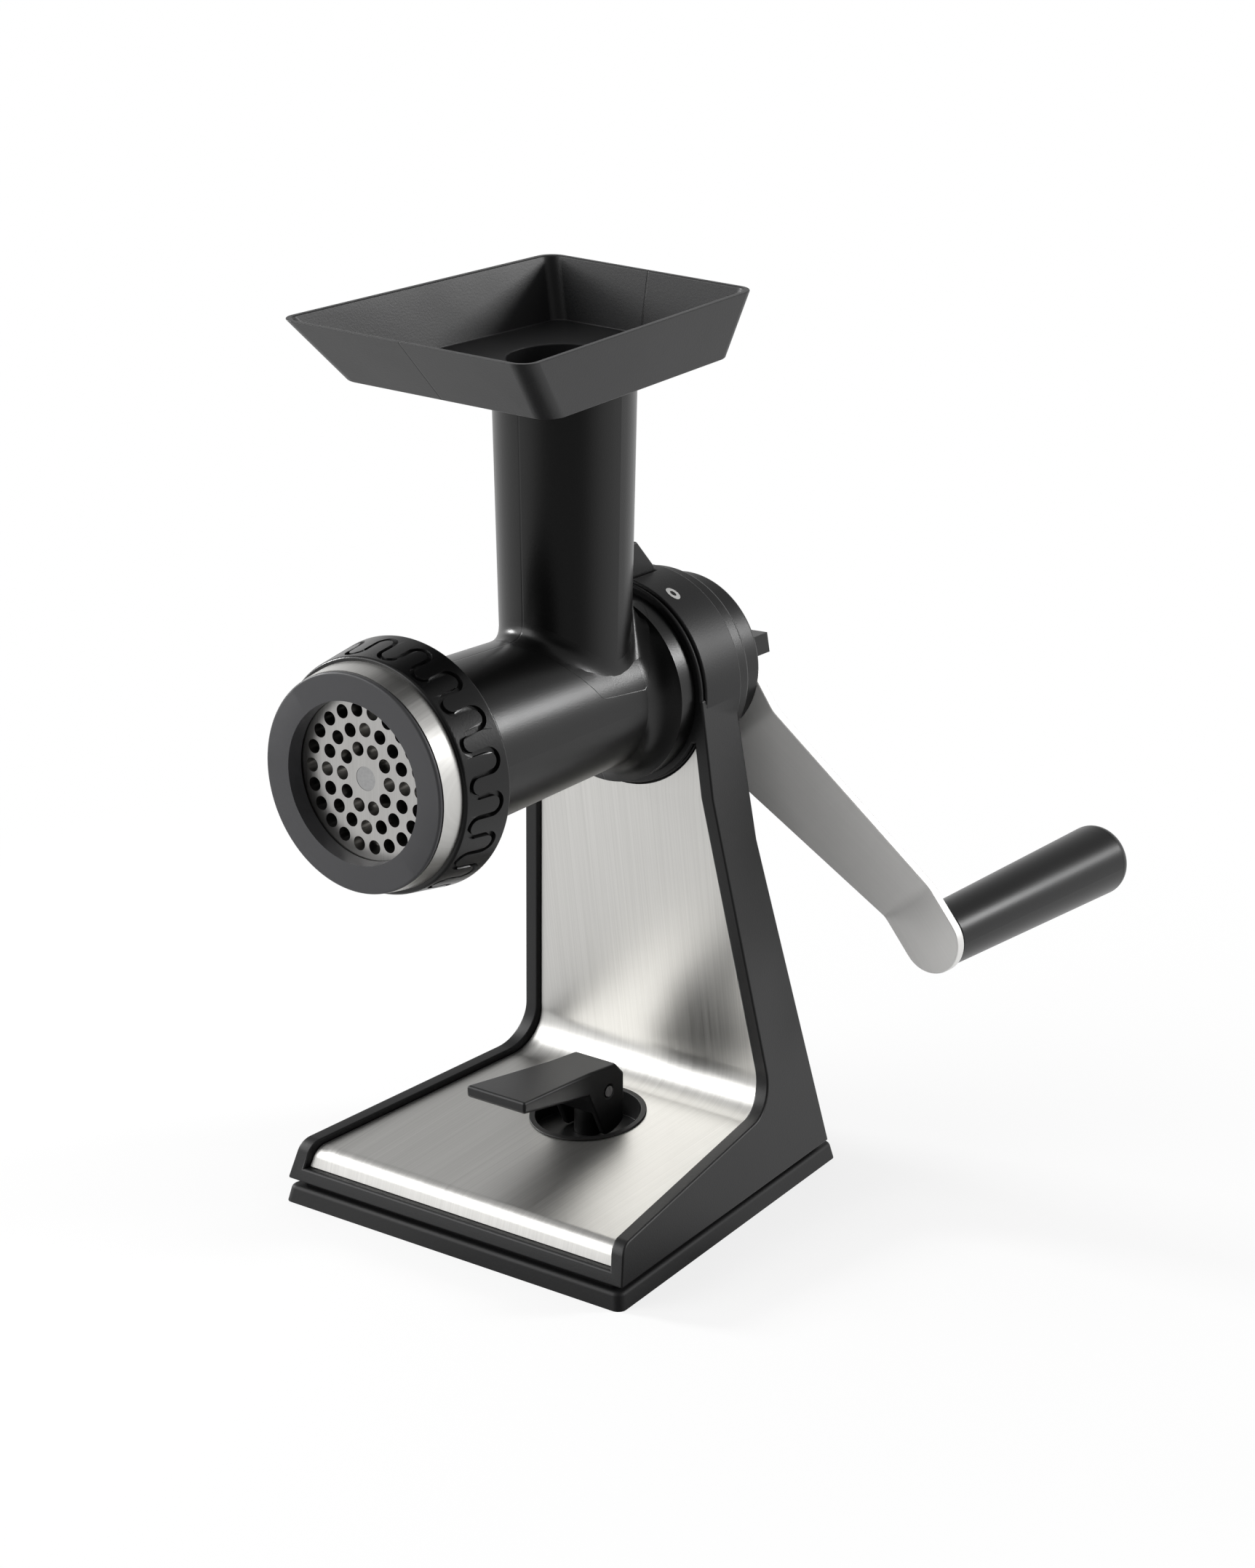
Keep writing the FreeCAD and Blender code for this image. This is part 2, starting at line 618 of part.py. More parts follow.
cup_below = combined("Cut", "cup_below", cup_body, deck_slab("above_rim", s.recess_proud, s.pin_height))
flange_ring = new_body("flange_ring")
turned(flange_ring, "Revolution", [
    (s.recess_radius, 0), (recess_outer + s.recess_flange, 0),
    (recess_outer + s.recess_flange, s.pin_height), (s.recess_radius, s.pin_height)])
place(flange_ring, 0, s.suction_y, 0)
flange_slab = deck_slab("flange_slab", s.seat_gap, s.recess_proud)
flange = combined("Common", "cup_flange", flange_ring, flange_slab)
keep("lever_recess", combined("Fuse", "lever_recess", cup_below, flange))

cup_top = formula(s.cup_dome_height)
rubber = new_body("rubber_cup")
turned(rubber, "Revolution", [
    (0, cup_top - s.cup_wall), (s.cup_dome_radius, cup_top - s.cup_wall),
    (s.cup_radius - s.cup_wall, s.cup_rim_clear), (s.cup_radius, s.cup_rim_clear),
    (s.cup_radius, s.cup_rim_height), (s.cup_radius - s.cup_wall, s.cup_rim_height + s.cup_wall / 2),
    (s.cup_dome_radius, cup_top), (0, cup_top)])
keep("suction_cup", place(rubber, 0, s.suction_y, 0))

stem_foot = cup_top + s.cup_seat_gap
stem_rod = new_body("stem_rod")
turned(stem_rod, "Revolution", [
    (0, stem_foot), (s.stem_foot_radius, stem_foot), (s.stem_foot_radius, stem_foot + s.stem_foot_thickness),
    (s.stem_radius, stem_foot + s.stem_foot_thickness), (s.stem_radius, s.pin_height), (0, s.pin_height)])
place(stem_rod, 0, s.suction_y, 0)
ALONG_X = FreeCAD.Rotation(V(0, 1, 0), 90)
stem_eye = combined("Common", "stem_eye",
                    cylinder(s.stem_head_radius, 2 * s.stem_head_half, -s.stem_head_half, s.suction_y,
                             s.pin_height, ALONG_X),
                    block(2 * s.stem_head_half, 2 * s.stem_head_radius, 2 * s.stem_head_radius,
                          -s.stem_head_half, s.suction_y - s.stem_head_radius,
                          s.pin_height - s.stem_head_radius))
stem_top = combined("Cut", "stem_rod", stem_rod,
                    block(2 * s.stem_foot_radius, s.stem_foot_radius, s.pin_height,
                          -s.stem_foot_radius, s.suction_y + s.stem_head_radius,
                          s.pin_height - s.stem_head_radius),
                    block(2 * s.stem_foot_radius, s.stem_foot_radius, s.pin_height,
                          -s.stem_foot_radius, s.suction_y - s.stem_head_radius - s.stem_foot_radius,
                          s.pin_height - s.stem_head_radius))
pin_bore = cylinder(s.pin_radius + s.running_gap, 4 * s.lever_half_width, -2 * s.lever_half_width,
                    s.suction_y, s.pin_height, ALONG_X)
keep("suction_stem", combined("Cut", "suction_stem", combined("Fuse", "stem", stem_top, stem_eye), pin_bore))

cam_centre = s.pin_height - s.cam_drop
lever_rear_y = s.suction_y + s.lever_rear


def cam_low(y):
    return cam_centre - root(s.cam_radius * s.cam_radius - (y - s.suction_y) * (y - s.suction_y))


cam_front_y = s.suction_y - s.stem_head_radius / 2
lever_side = side_slab("lever_side", [
    (s.lever_tip_y, s.lever_tip_height - s.lever_tip_thickness), (s.lever_neck_y, s.lever_neck_height),
    (cam_front_y, cam_low(cam_front_y), s.cam_radius, 1), (lever_rear_y, cam_low(lever_rear_y)),
    (lever_rear_y, s.lever_top_rear_height - s.lever_tip_thickness),
    (lever_rear_y - s.lever_tip_thickness, s.lever_top_rear_height),
    (s.lever_tip_y, s.lever_tip_height)], 2 * s.lever_tip_half_width)
lever_plan = new_body("lever_plan")
prism(lever_plan, "Pad", closed_path(lever_plan, "XY_Plane", [
    (-s.lever_tip_half_width, s.lever_tip_y), (s.lever_tip_half_width, s.lever_tip_y),
    (s.lever_half_width, s.lever_neck_y), (s.lever_half_width, lever_rear_y + 1),
    (-s.lever_half_width, lever_rear_y + 1), (-s.lever_half_width, s.lever_neck_y)]),
    s.lever_tip_height + s.pin_height)
lever = combined("Common", "lever_form", lever_side, lever_plan)
lever_slot = block(2 * s.lever_slot_half, s.cup_radius, s.pin_height + s.lever_slot_top,
                   -s.lever_slot_half, s.lever_slot_front, 0)
keep("suction_lever", combined("Cut", "suction_lever", lever, lever_slot, pin_bore))
keep("lever_pin", cylinder(s.pin_radius, 2 * s.lever_half_width, -s.lever_half_width, s.suction_y,
                           s.pin_height, ALONG_X))

# Grinder housing: barrel, flange, feed tube and bayonet spigot in one moulding
flange_back = s.collar_front - s.flange_gap
flare_reach = s.barrel_back_radius + s.flare_radius - s.flange_radius
flange_front = s.barrel_flare_y + root(s.flare_radius * s.flare_radius - flare_reach * flare_reach)
stop_back = s.stop_front + s.stop_width
housing = new_body("housing")
turned(housing, "Revolution", [
    (0, s.mouth_front), (s.mouth_radius, s.mouth_front), (s.mouth_radius, s.stop_front),
    (s.stop_radius, s.stop_front), (s.stop_radius, stop_back), (s.barrel_front_radius, stop_back),
    (s.barrel_back_radius, s.barrel_flare_y, s.flare_radius, -1), (s.flange_radius, flange_front),
    (s.flange_radius, flange_back), (s.spigot_radius, flange_back), (s.spigot_radius, s.spigot_back),
    (0, s.spigot_back)])
tube_rise = s.tube_top - s.axis_height
tube_foot = circles(housing, "XZ_Plane", [(0, s.tube_y, s.tube_root_radius)])
prism(housing, "Pad", tube_foot, tube_rise, draft=s.tube_draft)
knife_back = s.mouth_front + s.plate_disc + s.knife_room_length
turned(housing, "Groove", [
    (0, s.mouth_front - 1), (s.plate_radius + s.plate_gap, s.mouth_front - 1),
    (s.plate_radius + s.plate_gap, s.mouth_front + s.plate_disc - s.plate_gap),
    (s.knife_room_radius, s.mouth_front + s.plate_disc - s.plate_gap), (s.knife_room_radius, knife_back),
    (s.barrel_bore, knife_back), (s.barrel_bore, s.spigot_back - s.spigot_floor),
    (s.auger_shank_radius + s.auger_shank_gap, s.spigot_back - s.spigot_floor),
    (s.auger_shank_radius + s.auger_shank_gap, s.spigot_back + 1), (0, s.spigot_back + 1)])
tube_bore = circles(housing, "XZ_Plane", [(0, s.tube_y, s.tube_root_radius - s.tube_wall)])
prism(housing, "Pocket", tube_bore, tube_rise, flip=True, draft=s.tube_draft)
lug_outline = closed_path(housing, "XY_Plane", box_path(
    -s.lug_width / 2, -s.spigot_radius - s.lug_height,
    s.lug_width / 2, -s.spigot_radius + s.lug_height), s.lug_front)
repeated(housing, prism(housing, "Pad", lug_outline, s.lug_length), 3)
keep("grinder_housing", place(housing, z=s.axis_height, turn=ALONG_Y))

# Feed tray: drafted rounded pan with a neck that plugs into the tube
tray = new_body("tray")


def tray_plan(inset, lift):
    """The tray's plan at a height, drawn in by an inset."""
    part_way = (lift - s.tray_bottom) / (s.tray_top - s.tray_bottom)

    def between(low, high):
        return low + (high - low) * part_way

    return rounded_plan(
        tray, between(s.tray_floor_front_y, s.tray_front_y) + inset,
        between(s.tray_floor_back_y, s.tray_back_y) - inset,
        between(s.tray_floor_front_width, s.tray_front_width) - 2 * inset,
        between(s.tray_floor_back_width, s.tray_back_width) - 2 * inset, s.tray_corner - inset, lift)


neck_top = s.tray_bottom + s.tray_wall
loft(tray, tray_plan(formula(0), s.tray_bottom), tray_plan(formula(0), s.tray_top))
loft(tray, tray_plan(s.tray_wall, neck_top), tray_plan(s.tray_wall, s.tray_top), "SubtractiveLoft")
tube_bore_top = s.tube_root_radius - s.tube_wall + tube_rise * tangent(s.tube_draft)
neck_radius = tube_bore_top - s.neck_gap
neck_outline = circles(tray, "XY_Plane", [(0, s.tube_y, neck_radius)], neck_top)
prism(tray, "Pad", neck_outline, s.neck_length + s.tray_wall, flip=True, draft=-s.tube_draft)
throat_outline = circles(tray, "XY_Plane", [(0, s.tube_y, neck_radius - s.neck_wall)], neck_top)
prism(tray, "Pocket", throat_outline, s.neck_length + s.tray_wall, draft=-s.tube_draft)
keep("feed_tray", tray)

# Clamp ring: threaded sleeve, ribbed grip, steel band and front face
sleeve_front = s.ring_front + s.face_thickness
lip_back = sleeve_front + s.ring_lip
band_front = sleeve_front + s.ring_line
grip_front = band_front + s.band_width
sleeve_fit = s.ring_sleeve_radius + s.seat_gap
keep("clamp_ring", axial("clamp_sleeve", [
    (s.outlet_radius, sleeve_front), (s.ring_sleeve_radius, sleeve_front),
    (s.ring_sleeve_radius, s.ring_back),
    (s.mouth_radius + s.thread_gap, s.ring_back), (s.mouth_radius + s.thread_gap, lip_back),
    (s.outlet_radius, lip_back)]))
keep("ring_band", axial("band", box_path(sleeve_fit, band_front, s.band_radius, grip_front)))
face = axial("face", box_path(s.outlet_radius, s.ring_front, s.face_radius, sleeve_front))
rounded(face, face.Tip, s.face_edge, circle_edge(s.face_radius, s.ring_front))
keep("ring_face", face)

grip_ring = axial("grip_ring", box_path(sleeve_fit, grip_front, s.grip_ring_radius, s.ring_back))
rounded(grip_ring, grip_ring.Tip, s.grip_ring_edge, lambda edge: isinstance(edge.Curve, Part.Circle)
        and abs(edge.Curve.Radius - s.grip_ring_radius.value) < 0.01)
period = 2 * math.pi * s.grip_ring_radius / s.meander_count
quarter = period / 4
half_line = s.meander_width / 2
wide, slim = quarter + half_line, quarter - half_line
near_turn = grip_front + s.meander_front + wide
far_turn = s.ring_back - s.meander_back - wide
meander = closed_path(grip_ring, "XZ_Plane", [
    (-2 * quarter - half_line, near_turn), (-2 * quarter - half_line, far_turn, wide, -1),
    (-quarter, far_turn + wide, wide, -1), (half_line, far_turn),
    (half_line, near_turn, slim, 1), (quarter, near_turn - slim, slim, 1),
    (2 * quarter - half_line, near_turn), (2 * quarter + half_line, near_turn, wide, -1),
    (quarter, near_turn - wide, wide, -1), (-half_line, near_turn),
    (-half_line, far_turn, slim, 1), (-quarter, far_turn + slim, slim, 1),
    (half_line - 2 * quarter, far_turn), (half_line - 2 * quarter, near_turn),
], s.grip_ring_radius - s.meander_depth)
repeated(grip_ring, prism(grip_ring, "Pocket", meander, s.meander_depth + 1, flip=True), s.meander_count)
keep("ring_grip", grip_ring)

# Hole plate, knife and auger inside the barrel
disc = new_body("disc")
plate_low = s.mouth_front - s.plate_gap
prism(disc, "Pad", circles(disc, "XY_Plane", [(0, 0, s.plate_radius)], plate_low), s.plate_disc)
prism(disc, "Pocket", circles(disc, "XY_Plane", [(0, 0, s.auger_stud_radius + s.running_gap)], plate_low),
      s.plate_disc, flip=True)
for circle, count in ((s.hole_circle_inner, s.hole_count_inner), (s.hole_circle_middle, s.hole_count_middle),
                      (s.hole_circle_outer, s.hole_count_outer)):
    hole = prism(disc, "Pocket", circles(disc, "XY_Plane", [(circle, 0, s.hole_radius)], plate_low),
                 s.plate_disc, flip=True)
    repeated(disc, hole, count)
key_outline = closed_path(disc, "XY_Plane", box_path(
    -s.plate_key, s.plate_radius - s.plate_key, s.plate_key, s.plate_radius + s.plate_key), plate_low)
prism(disc, "Pocket", key_outline, s.plate_disc, flip=True)
keep("hole_plate", place(disc, z=s.axis_height, turn=ALONG_Y))

knife_front = plate_low + s.plate_disc + s.knife_gap
knife = new_body("knife_body")
prism(knife, "Pad", circles(knife, "XY_Plane", [(0, 0, s.knife_hub_radius)], knife_front), s.knife_thickness)
blade_half = s.knife_blade_width / 2
blade_outline = closed_path(knife, "XY_Plane", [
    (0, -blade_half), (s.knife_radius, -blade_half / 2),
    (s.knife_radius, blade_half), (0, blade_half)], knife_front)
repeated(knife, prism(knife, "Pad", blade_outline, s.knife_thickness), 4)
stud_half = s.auger_stud_square / 2
knife_square = stud_half + s.knife_gap
prism(knife, "Pocket", closed_path(knife, "XY_Plane", box_path(
    -knife_square, -knife_square, knife_square, knife_square), knife_front), s.knife_thickness, flip=True)
keep("knife", place(knife, z=s.axis_height, turn=ALONG_Y))

auger = new_body("auger_body")
shank_back = s.spigot_back + s.auger_shank_gap
turned(auger, "Revolution", [
    (0, s.auger_front), (s.auger_core_front, s.auger_front), (s.auger_core_back, s.auger_back),
    (s.auger_shank_radius, s.auger_back), (s.auger_shank_radius, shank_back), (0, shank_back)])
stud_end = plate_low + s.knife_gap
square_end = knife_front + s.knife_gap
stud_path = box_path(-stud_half, -stud_half, stud_half, stud_half)
stud_square = closed_path(auger, "XY_Plane", stud_path, s.auger_front)
prism(auger, "Pad", stud_square, s.auger_front - square_end, flip=True)
stud_round = circles(auger, "XY_Plane", [(0, 0, s.auger_stud_radius)], square_end)
prism(auger, "Pad", stud_round, square_end - stud_end, flip=True)


def hex_path(across):
    side = across / math.sqrt(3)
    return [(side * math.cos(math.radians(60 * k)), side * math.sin(math.radians(60 * k))) for k in range(6)]


socket_outline = closed_path(auger, "XY_Plane", hex_path(s.shaft_hex + 2 * s.hex_gap), shank_back)
prism(auger, "Pocket", socket_outline, shank_back - s.shaft_hex_front + s.hex_gap)
flight_outline = closed_path(auger, "XZ_Plane", [
    (s.auger_core_front - 2, s.auger_front), (s.auger_radius, s.auger_front + s.auger_flight / 4),
    (s.auger_radius, s.auger_front + s.auger_flight * 3 / 4),
    (s.auger_core_front - 2, s.auger_front + s.auger_flight)])
flight = auger.newObject("PartDesign::AdditiveHelix", "flight")
flight.Profile = flight_outline
flight.ReferenceAxis = (flight_outline, ["V_Axis"])
flight.Mode = "pitch-height-angle"
bind(flight, "Pitch", s.auger_pitch)
bind(flight, "Height", s.auger_back - s.auger_front - s.auger_flight)
flight.LeftHanded = True
doc.recompute()
keep("auger", place(auger, z=s.axis_height, turn=ALONG_Y))
washer_front = s.spigot_back - s.spigot_floor - s.washer_thickness - s.knife_gap
keep("thrust_washer", axial("washer", box_path(
    s.auger_shank_radius + s.auger_shank_gap, washer_front,
    s.washer_radius, washer_front + s.washer_thickness)))

# Drive: shaft in its bush, back cover, clip, hub, crank arm and wing knob
arm_back = s.arm_front + s.arm_thickness
cover_back = s.collar_back + s.cover_thickness
bush_front = s.lug_room_back - s.bush_flange
shaft_shoulder = s.arm_front
knob_front = arm_back + s.knob_gap
thread_end = knob_front + s.knob_length * 0.7
hex_end = s.spigot_back + s.bush_flange - s.auger_shank_gap
shaft = new_body("shaft")
turned(shaft, "Revolution", [
    (0, hex_end), (s.shaft_radius, hex_end), (s.shaft_radius, shaft_shoulder),
    (s.shaft_end_radius, shaft_shoulder), (s.shaft_end_radius, arm_back), (s.thread_radius, arm_back),
    (s.thread_radius, thread_end), (0, thread_end)])
hex_outline = closed_path(shaft, "XY_Plane", hex_path(s.shaft_hex), hex_end)
prism(shaft, "Pad", hex_outline, hex_end - s.shaft_hex_front,
      flip=True)
keep("drive_shaft", place(shaft, z=s.axis_height, turn=ALONG_Y))
bush_bore = s.shaft_radius + s.running_gap
keep("shaft_bush", axial("bush", [
    (bush_bore, bush_front), (s.bush_flange_radius, bush_front),
    (s.bush_flange_radius, s.lug_room_back - s.seat_gap), (s.bush_radius, s.lug_room_back - s.seat_gap),
    (s.bush_radius, s.collar_back), (bush_bore, s.collar_back)]))
clip_front = cover_front + s.clip_gap
keep("shaft_clip", axial("clip", box_path(
    s.shaft_radius + s.seat_gap, clip_front, s.clip_radius, clip_front + s.clip_thickness)))
line_front = cover_front + s.cover_line
cover = axial("cover", [
    (s.shaft_radius + s.clip_gap, cover_front + s.cover_recess_depth),
    (s.cover_recess_radius, cover_front + s.cover_recess_depth), (s.cover_recess_radius, cover_front),
    (s.cover_line_radius, cover_front), (s.cover_line_radius, line_front), (s.cover_radius, line_front),
    (s.cover_radius, cover_back), (s.shaft_radius + s.clip_gap, cover_back)])
rounded(cover, cover.Tip, s.cover_edge, circle_edge(s.cover_radius, cover_back))
for x, z in cover_spots:
    cover = combined("Cut", "rear_cover", cover, cylinder(
        s.screw_radius + s.screw_gap, s.cover_screw_length - s.collar_back + s.lug_room_back + 2,
        x, cover_front - 1, z, ALONG_Y))
keep("rear_cover", cover)
keep("cover_screws", group("cover_screws", [
    place(screw("cover_screw", s.screw_head_height, s.cover_screw_length),
          x, s.lug_room_back - s.seat_gap, z, ALONG_Y)
    for x, z in cover_spots]))

CRANK_TURN = FreeCAD.Rotation(V(0, 1, 0), s.crank_angle.value)


def on_crank(item):
    """Turn a piece drawn with the arm along X to the crank's rest angle."""
    place(item, z=s.axis_height, turn=CRANK_TURN)
    item.setExpression("Placement.Rotation.Angle", s.crank_angle.text + " * 1 deg")
    return item


hub = axial("hub", box_path(s.shaft_radius + s.seat_gap, s.hub_front, s.hub_radius, s.arm_front))
rounded(hub, hub.Tip, s.hub_edge, circle_edge(s.hub_radius, s.arm_front))
keep("crank_hub", hub)

arm_end = s.crank_radius + s.arm_outer_half
arm_strip = new_body("arm_strip")
tab_front = s.arm_front + s.arm_offset
strip_outline = closed_path(arm_strip, "XY_Plane", [
    (-s.arm_eye_radius, s.arm_front), (s.arm_bend_inner, s.arm_front), (s.arm_bend_outer, tab_front),
    (arm_end, tab_front), (arm_end, tab_front + s.arm_thickness),
    (s.arm_bend_outer, tab_front + s.arm_thickness),
    (s.arm_bend_inner, arm_back), (-s.arm_eye_radius, arm_back)])
strip_pad = prism(arm_strip, "Pad", strip_outline, 2 * s.arm_eye_radius, both=True)


def strip_bend(edge):
    x_places = (s.arm_bend_inner.value, s.arm_bend_outer.value)
    return edge.BoundBox.ZLength > 1 and any(abs(edge.BoundBox.Center.x - x) < 0.01 for x in x_places)


rounded(arm_strip, strip_pad, s.arm_bend_radius, strip_bend)
arm_plan = new_body("arm_plan")
prism(arm_plan, "Pad", closed_path(arm_plan, "XZ_Plane", [
    (0, s.arm_eye_radius), (0, -s.arm_eye_radius), (s.arm_bend_inner, -s.arm_inner_half),
    (s.arm_bend_outer, -s.arm_outer_half), (s.crank_radius, -s.arm_outer_half),
    (s.crank_radius, s.arm_outer_half), (s.arm_bend_outer, s.arm_outer_half),
    (s.arm_bend_inner, s.arm_inner_half)]), 2 * (tab_front + s.arm_thickness), both=True)
eye = cylinder(s.arm_eye_radius, tab_front + s.arm_thickness, 0, 0, 0, ALONG_Y)
tip = cylinder(s.arm_outer_half, tab_front + s.arm_thickness, s.crank_radius, 0, 0, ALONG_Y)
arm_outline = combined("Fuse", "arm_outline", arm_plan, eye, tip)
arm = combined("Common", "arm_form", arm_strip, arm_outline)
arm = combined("Cut", "crank_arm", arm, cylinder(
    s.shaft_end_radius + s.seat_gap, arm_back, 0, s.arm_front - s.arm_thickness, 0, ALONG_Y))
keep("crank_arm", on_crank(arm))

knob = new_body("knob")
knob_turn = turned(knob, "Revolution", [
    (0, thread_end + s.knob_gap), (s.thread_radius + s.seat_gap, thread_end + s.knob_gap),
    (s.thread_radius + s.seat_gap, knob_front), (s.knob_radius, knob_front),
    (s.knob_radius, knob_front + s.knob_length), (0, knob_front + s.knob_length)])
rounded(knob, knob_turn, s.knob_edge, circle_edge(s.knob_radius, knob_front + s.knob_length))
wing_half = s.knob_wing_thickness / 2
prism(knob, "Pad", closed_path(knob, "XY_Plane", [
    (s.knob_radius * 0.6, -wing_half * 1.4), (s.knob_wing_radius, -wing_half),
    (s.knob_wing_radius, wing_half), (s.knob_radius * 0.6, wing_half * 1.4)], knob_front + s.knob_edge),
    s.knob_length - 2 * s.knob_edge)
wing_back = knob.Tip
repeated(knob, wing_back, 2)
keep("crank_knob", place(knob, z=s.axis_height, turn=FreeCAD.Rotation(V(0, 1, 0), -10) * ALONG_Y))

# Handle: axle welded to the arm's tab, turning grip and its end cap
grip_x = s.crank_radius * cosine(s.crank_angle)
grip_z = s.axis_height - s.crank_radius * sine(s.crank_angle)
tab_back = tab_front + s.arm_thickness
grip_front_y = tab_back + s.grip_gap
grip_back_y = grip_front_y + s.grip_length


def on_handle(label, path):
    body = new_body(label)
    turned(body, "Revolution", path)
    return place(body, grip_x, 0, grip_z, ALONG_Y)


axle_end = tab_back + s.axle_length
keep("handle_axle", on_handle("axle", [
    (0, tab_back), (s.axle_radius, tab_back), (s.axle_radius, axle_end), (s.axle_head_radius, axle_end),
    (s.axle_head_radius, axle_end + s.axle_head), (0, axle_end + s.axle_head)]))
axle_bore = s.axle_radius + s.running_gap
head_room = axle_end - s.clip_gap
cap_seat_y = grip_back_y - s.grip_cap_length
grip_body = on_handle("grip", [
    (axle_bore, grip_front_y), (s.grip_near_radius, grip_front_y), (s.grip_far_radius, cap_seat_y),
    (s.grip_cap_seat, cap_seat_y), (s.grip_cap_seat, head_room), (axle_bore, head_room)])
rounded(grip_body, grip_body.Tip, s.grip_near_edge, circle_edge(s.grip_near_radius, grip_front_y))
keep("handle_grip", grip_body)
plug_front = axle_end + s.axle_head + s.clip_gap
cap_body = on_handle("cap", [
    (0, plug_front), (s.grip_cap_seat - s.seat_gap, plug_front),
    (s.grip_cap_seat - s.seat_gap, cap_seat_y + s.seat_gap),
    (s.grip_far_radius, cap_seat_y + s.seat_gap), (s.grip_far_radius, grip_back_y), (0, grip_back_y)])
rounded(cap_body, cap_body.Tip, s.grip_cap_round, circle_edge(s.grip_far_radius, grip_back_y))
keep("grip_cap", cap_body)

# Release button: a fin that sinks into the top of the collar
keep("release_button", side_slab("button", [
    (button_front, button_foot), (button_back, button_foot),
    (button_back, collar_top + s.button_heel_rise),
    (button_front + s.button_top_width, collar_top + s.button_rise),
    (button_front, collar_top + s.button_rise)], s.button_width))

doc.recompute()
for item in doc.Objects:
    if "Invalid" in item.State or "Error" in item.State:
        raise RuntimeError(f"{item.Label}: {item.State}")
for name, item in parts.items():
    if item.Shape.isNull() or not item.Shape.isValid():
        raise RuntimeError(f"{name}: no valid shape")

os.makedirs("parts", exist_ok=True)
for name, item in parts.items():
    item.Shape.exportStep(f"parts/{name}.step")
    box = item.Shape.BoundBox
    sides = [round(side, 1) for side in (box.XLength, box.YLength, box.ZLength)]
    print(name, round(item.Shape.Volume), "mm3", sides)
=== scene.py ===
# %% [markdown]
# # A hand crank grinder on a suction foot
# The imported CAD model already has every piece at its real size. This lesson gives each piece its
# surface: softened edges, moulded plastic, brushed steel and rubber, and then a camera and studio light.

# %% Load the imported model
import json
import math

import bmesh
import bpy
from mathutils import Matrix, Vector
from mathutils.bvhtree import BVHTree


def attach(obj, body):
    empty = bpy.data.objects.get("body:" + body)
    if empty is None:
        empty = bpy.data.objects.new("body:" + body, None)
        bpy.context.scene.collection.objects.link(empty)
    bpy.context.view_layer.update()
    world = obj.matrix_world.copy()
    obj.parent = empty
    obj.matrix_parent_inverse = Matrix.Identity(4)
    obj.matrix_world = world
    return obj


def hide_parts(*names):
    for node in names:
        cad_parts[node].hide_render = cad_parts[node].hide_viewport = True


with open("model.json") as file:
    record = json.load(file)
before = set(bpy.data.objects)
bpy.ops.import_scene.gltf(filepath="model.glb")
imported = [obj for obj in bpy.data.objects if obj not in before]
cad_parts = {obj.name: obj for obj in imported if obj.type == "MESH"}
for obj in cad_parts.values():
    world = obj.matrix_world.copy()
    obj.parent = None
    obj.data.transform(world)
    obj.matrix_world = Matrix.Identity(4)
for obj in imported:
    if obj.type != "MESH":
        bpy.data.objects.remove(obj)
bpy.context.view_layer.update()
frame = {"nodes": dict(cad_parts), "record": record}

MM = 0.001
AXIS_HEIGHT = 181.5 * MM
SMOOTH_DEGREES = 35
nodes = frame["nodes"]
slot_of = {part["node"]: part["material_slot"] for part in frame["record"]["subparts"]}
body_of = {node: body for body, members in frame["record"]["behaviour"]["bodies"].items() for node in members}

# %% [markdown]
# ## Camera
# The photograph was taken from the right of the outlet and a little above, with a long lens. The camera
# is placed from that measured position. Its three axes are written as the columns of a matrix: to the
# right, up, and backwards, because a camera looks along its own minus Z.

# %% Camera at the photograph's place
AZIMUTH, ELEVATION = math.radians(38.19), math.radians(19.0)
FOCAL_PIXELS, LONG_SIDE_PIXELS, SENSOR_MM = 6486.0, 2156.0, 36.0
CAMERA_PLACE = Vector((0.9543, -1.1892, 0.6743))

right = Vector((math.cos(AZIMUTH), math.sin(AZIMUTH), 0))
level_back = Vector((math.sin(AZIMUTH), -math.cos(AZIMUTH), 0))
back = math.cos(ELEVATION) * level_back + Vector((0, 0, math.sin(ELEVATION)))
up = back.cross(right)
bpy.ops.object.select_all(action="DESELECT")
bpy.ops.object.camera_add()
camera = bpy.context.object
camera.matrix_world = Matrix.Translation(CAMERA_PLACE) @ Matrix((right, up, back)).transposed().to_4x4()
camera.data.sensor_width = SENSOR_MM
camera.data.lens = FOCAL_PIXELS * SENSOR_MM / LONG_SIDE_PIXELS
camera.data.clip_start = 0.05
bpy.context.scene.camera = camera
bpy.context.scene.view_settings.view_transform = "Standard"
print("lens:", round(camera.data.lens, 1), "mm")

# %% [markdown]
# ## Node helpers and colours
# Every finish is a small node graph. One function adds a node with its settings and links, and three more
# use it for the commonest nodes: arithmetic, a mix of two colours and a ramp. Another turns an sRGB hex
# colour, as read from a colour picker, into the linear values that shaders use.


# %% Node and colour helpers
def linear(hex_colour):
    """An sRGB hex colour as a linear RGBA tuple."""
    channels = [int(hex_colour[i:i + 2], 16) / 255 for i in (1, 3, 5)]
    return tuple(c / 12.92 if c <= 0.04045 else ((c + 0.055) / 1.055) ** 2.4 for c in channels) + (1.0,)


def add(tree, kind, settings=None, **inputs):
    """Add a node and set its properties and sockets (i0, i1 or by name); a socket as a value is linked."""
    node = tree.nodes.new(kind)
    for name, value in (settings or {}).items():
        setattr(node, name, value)
    for name, value in inputs.items():
        numbered = name[0] == "i" and name[1:].isdigit()
        socket = node.inputs[int(name[1:])] if numbered else node.inputs[name.replace("_", " ")]
        if isinstance(value, bpy.types.NodeSocket):
            tree.links.new(value, socket)
        else:
            socket.default_value = value
    return node


print("mid grey in linear light:", round(linear("#808080")[0], 4))


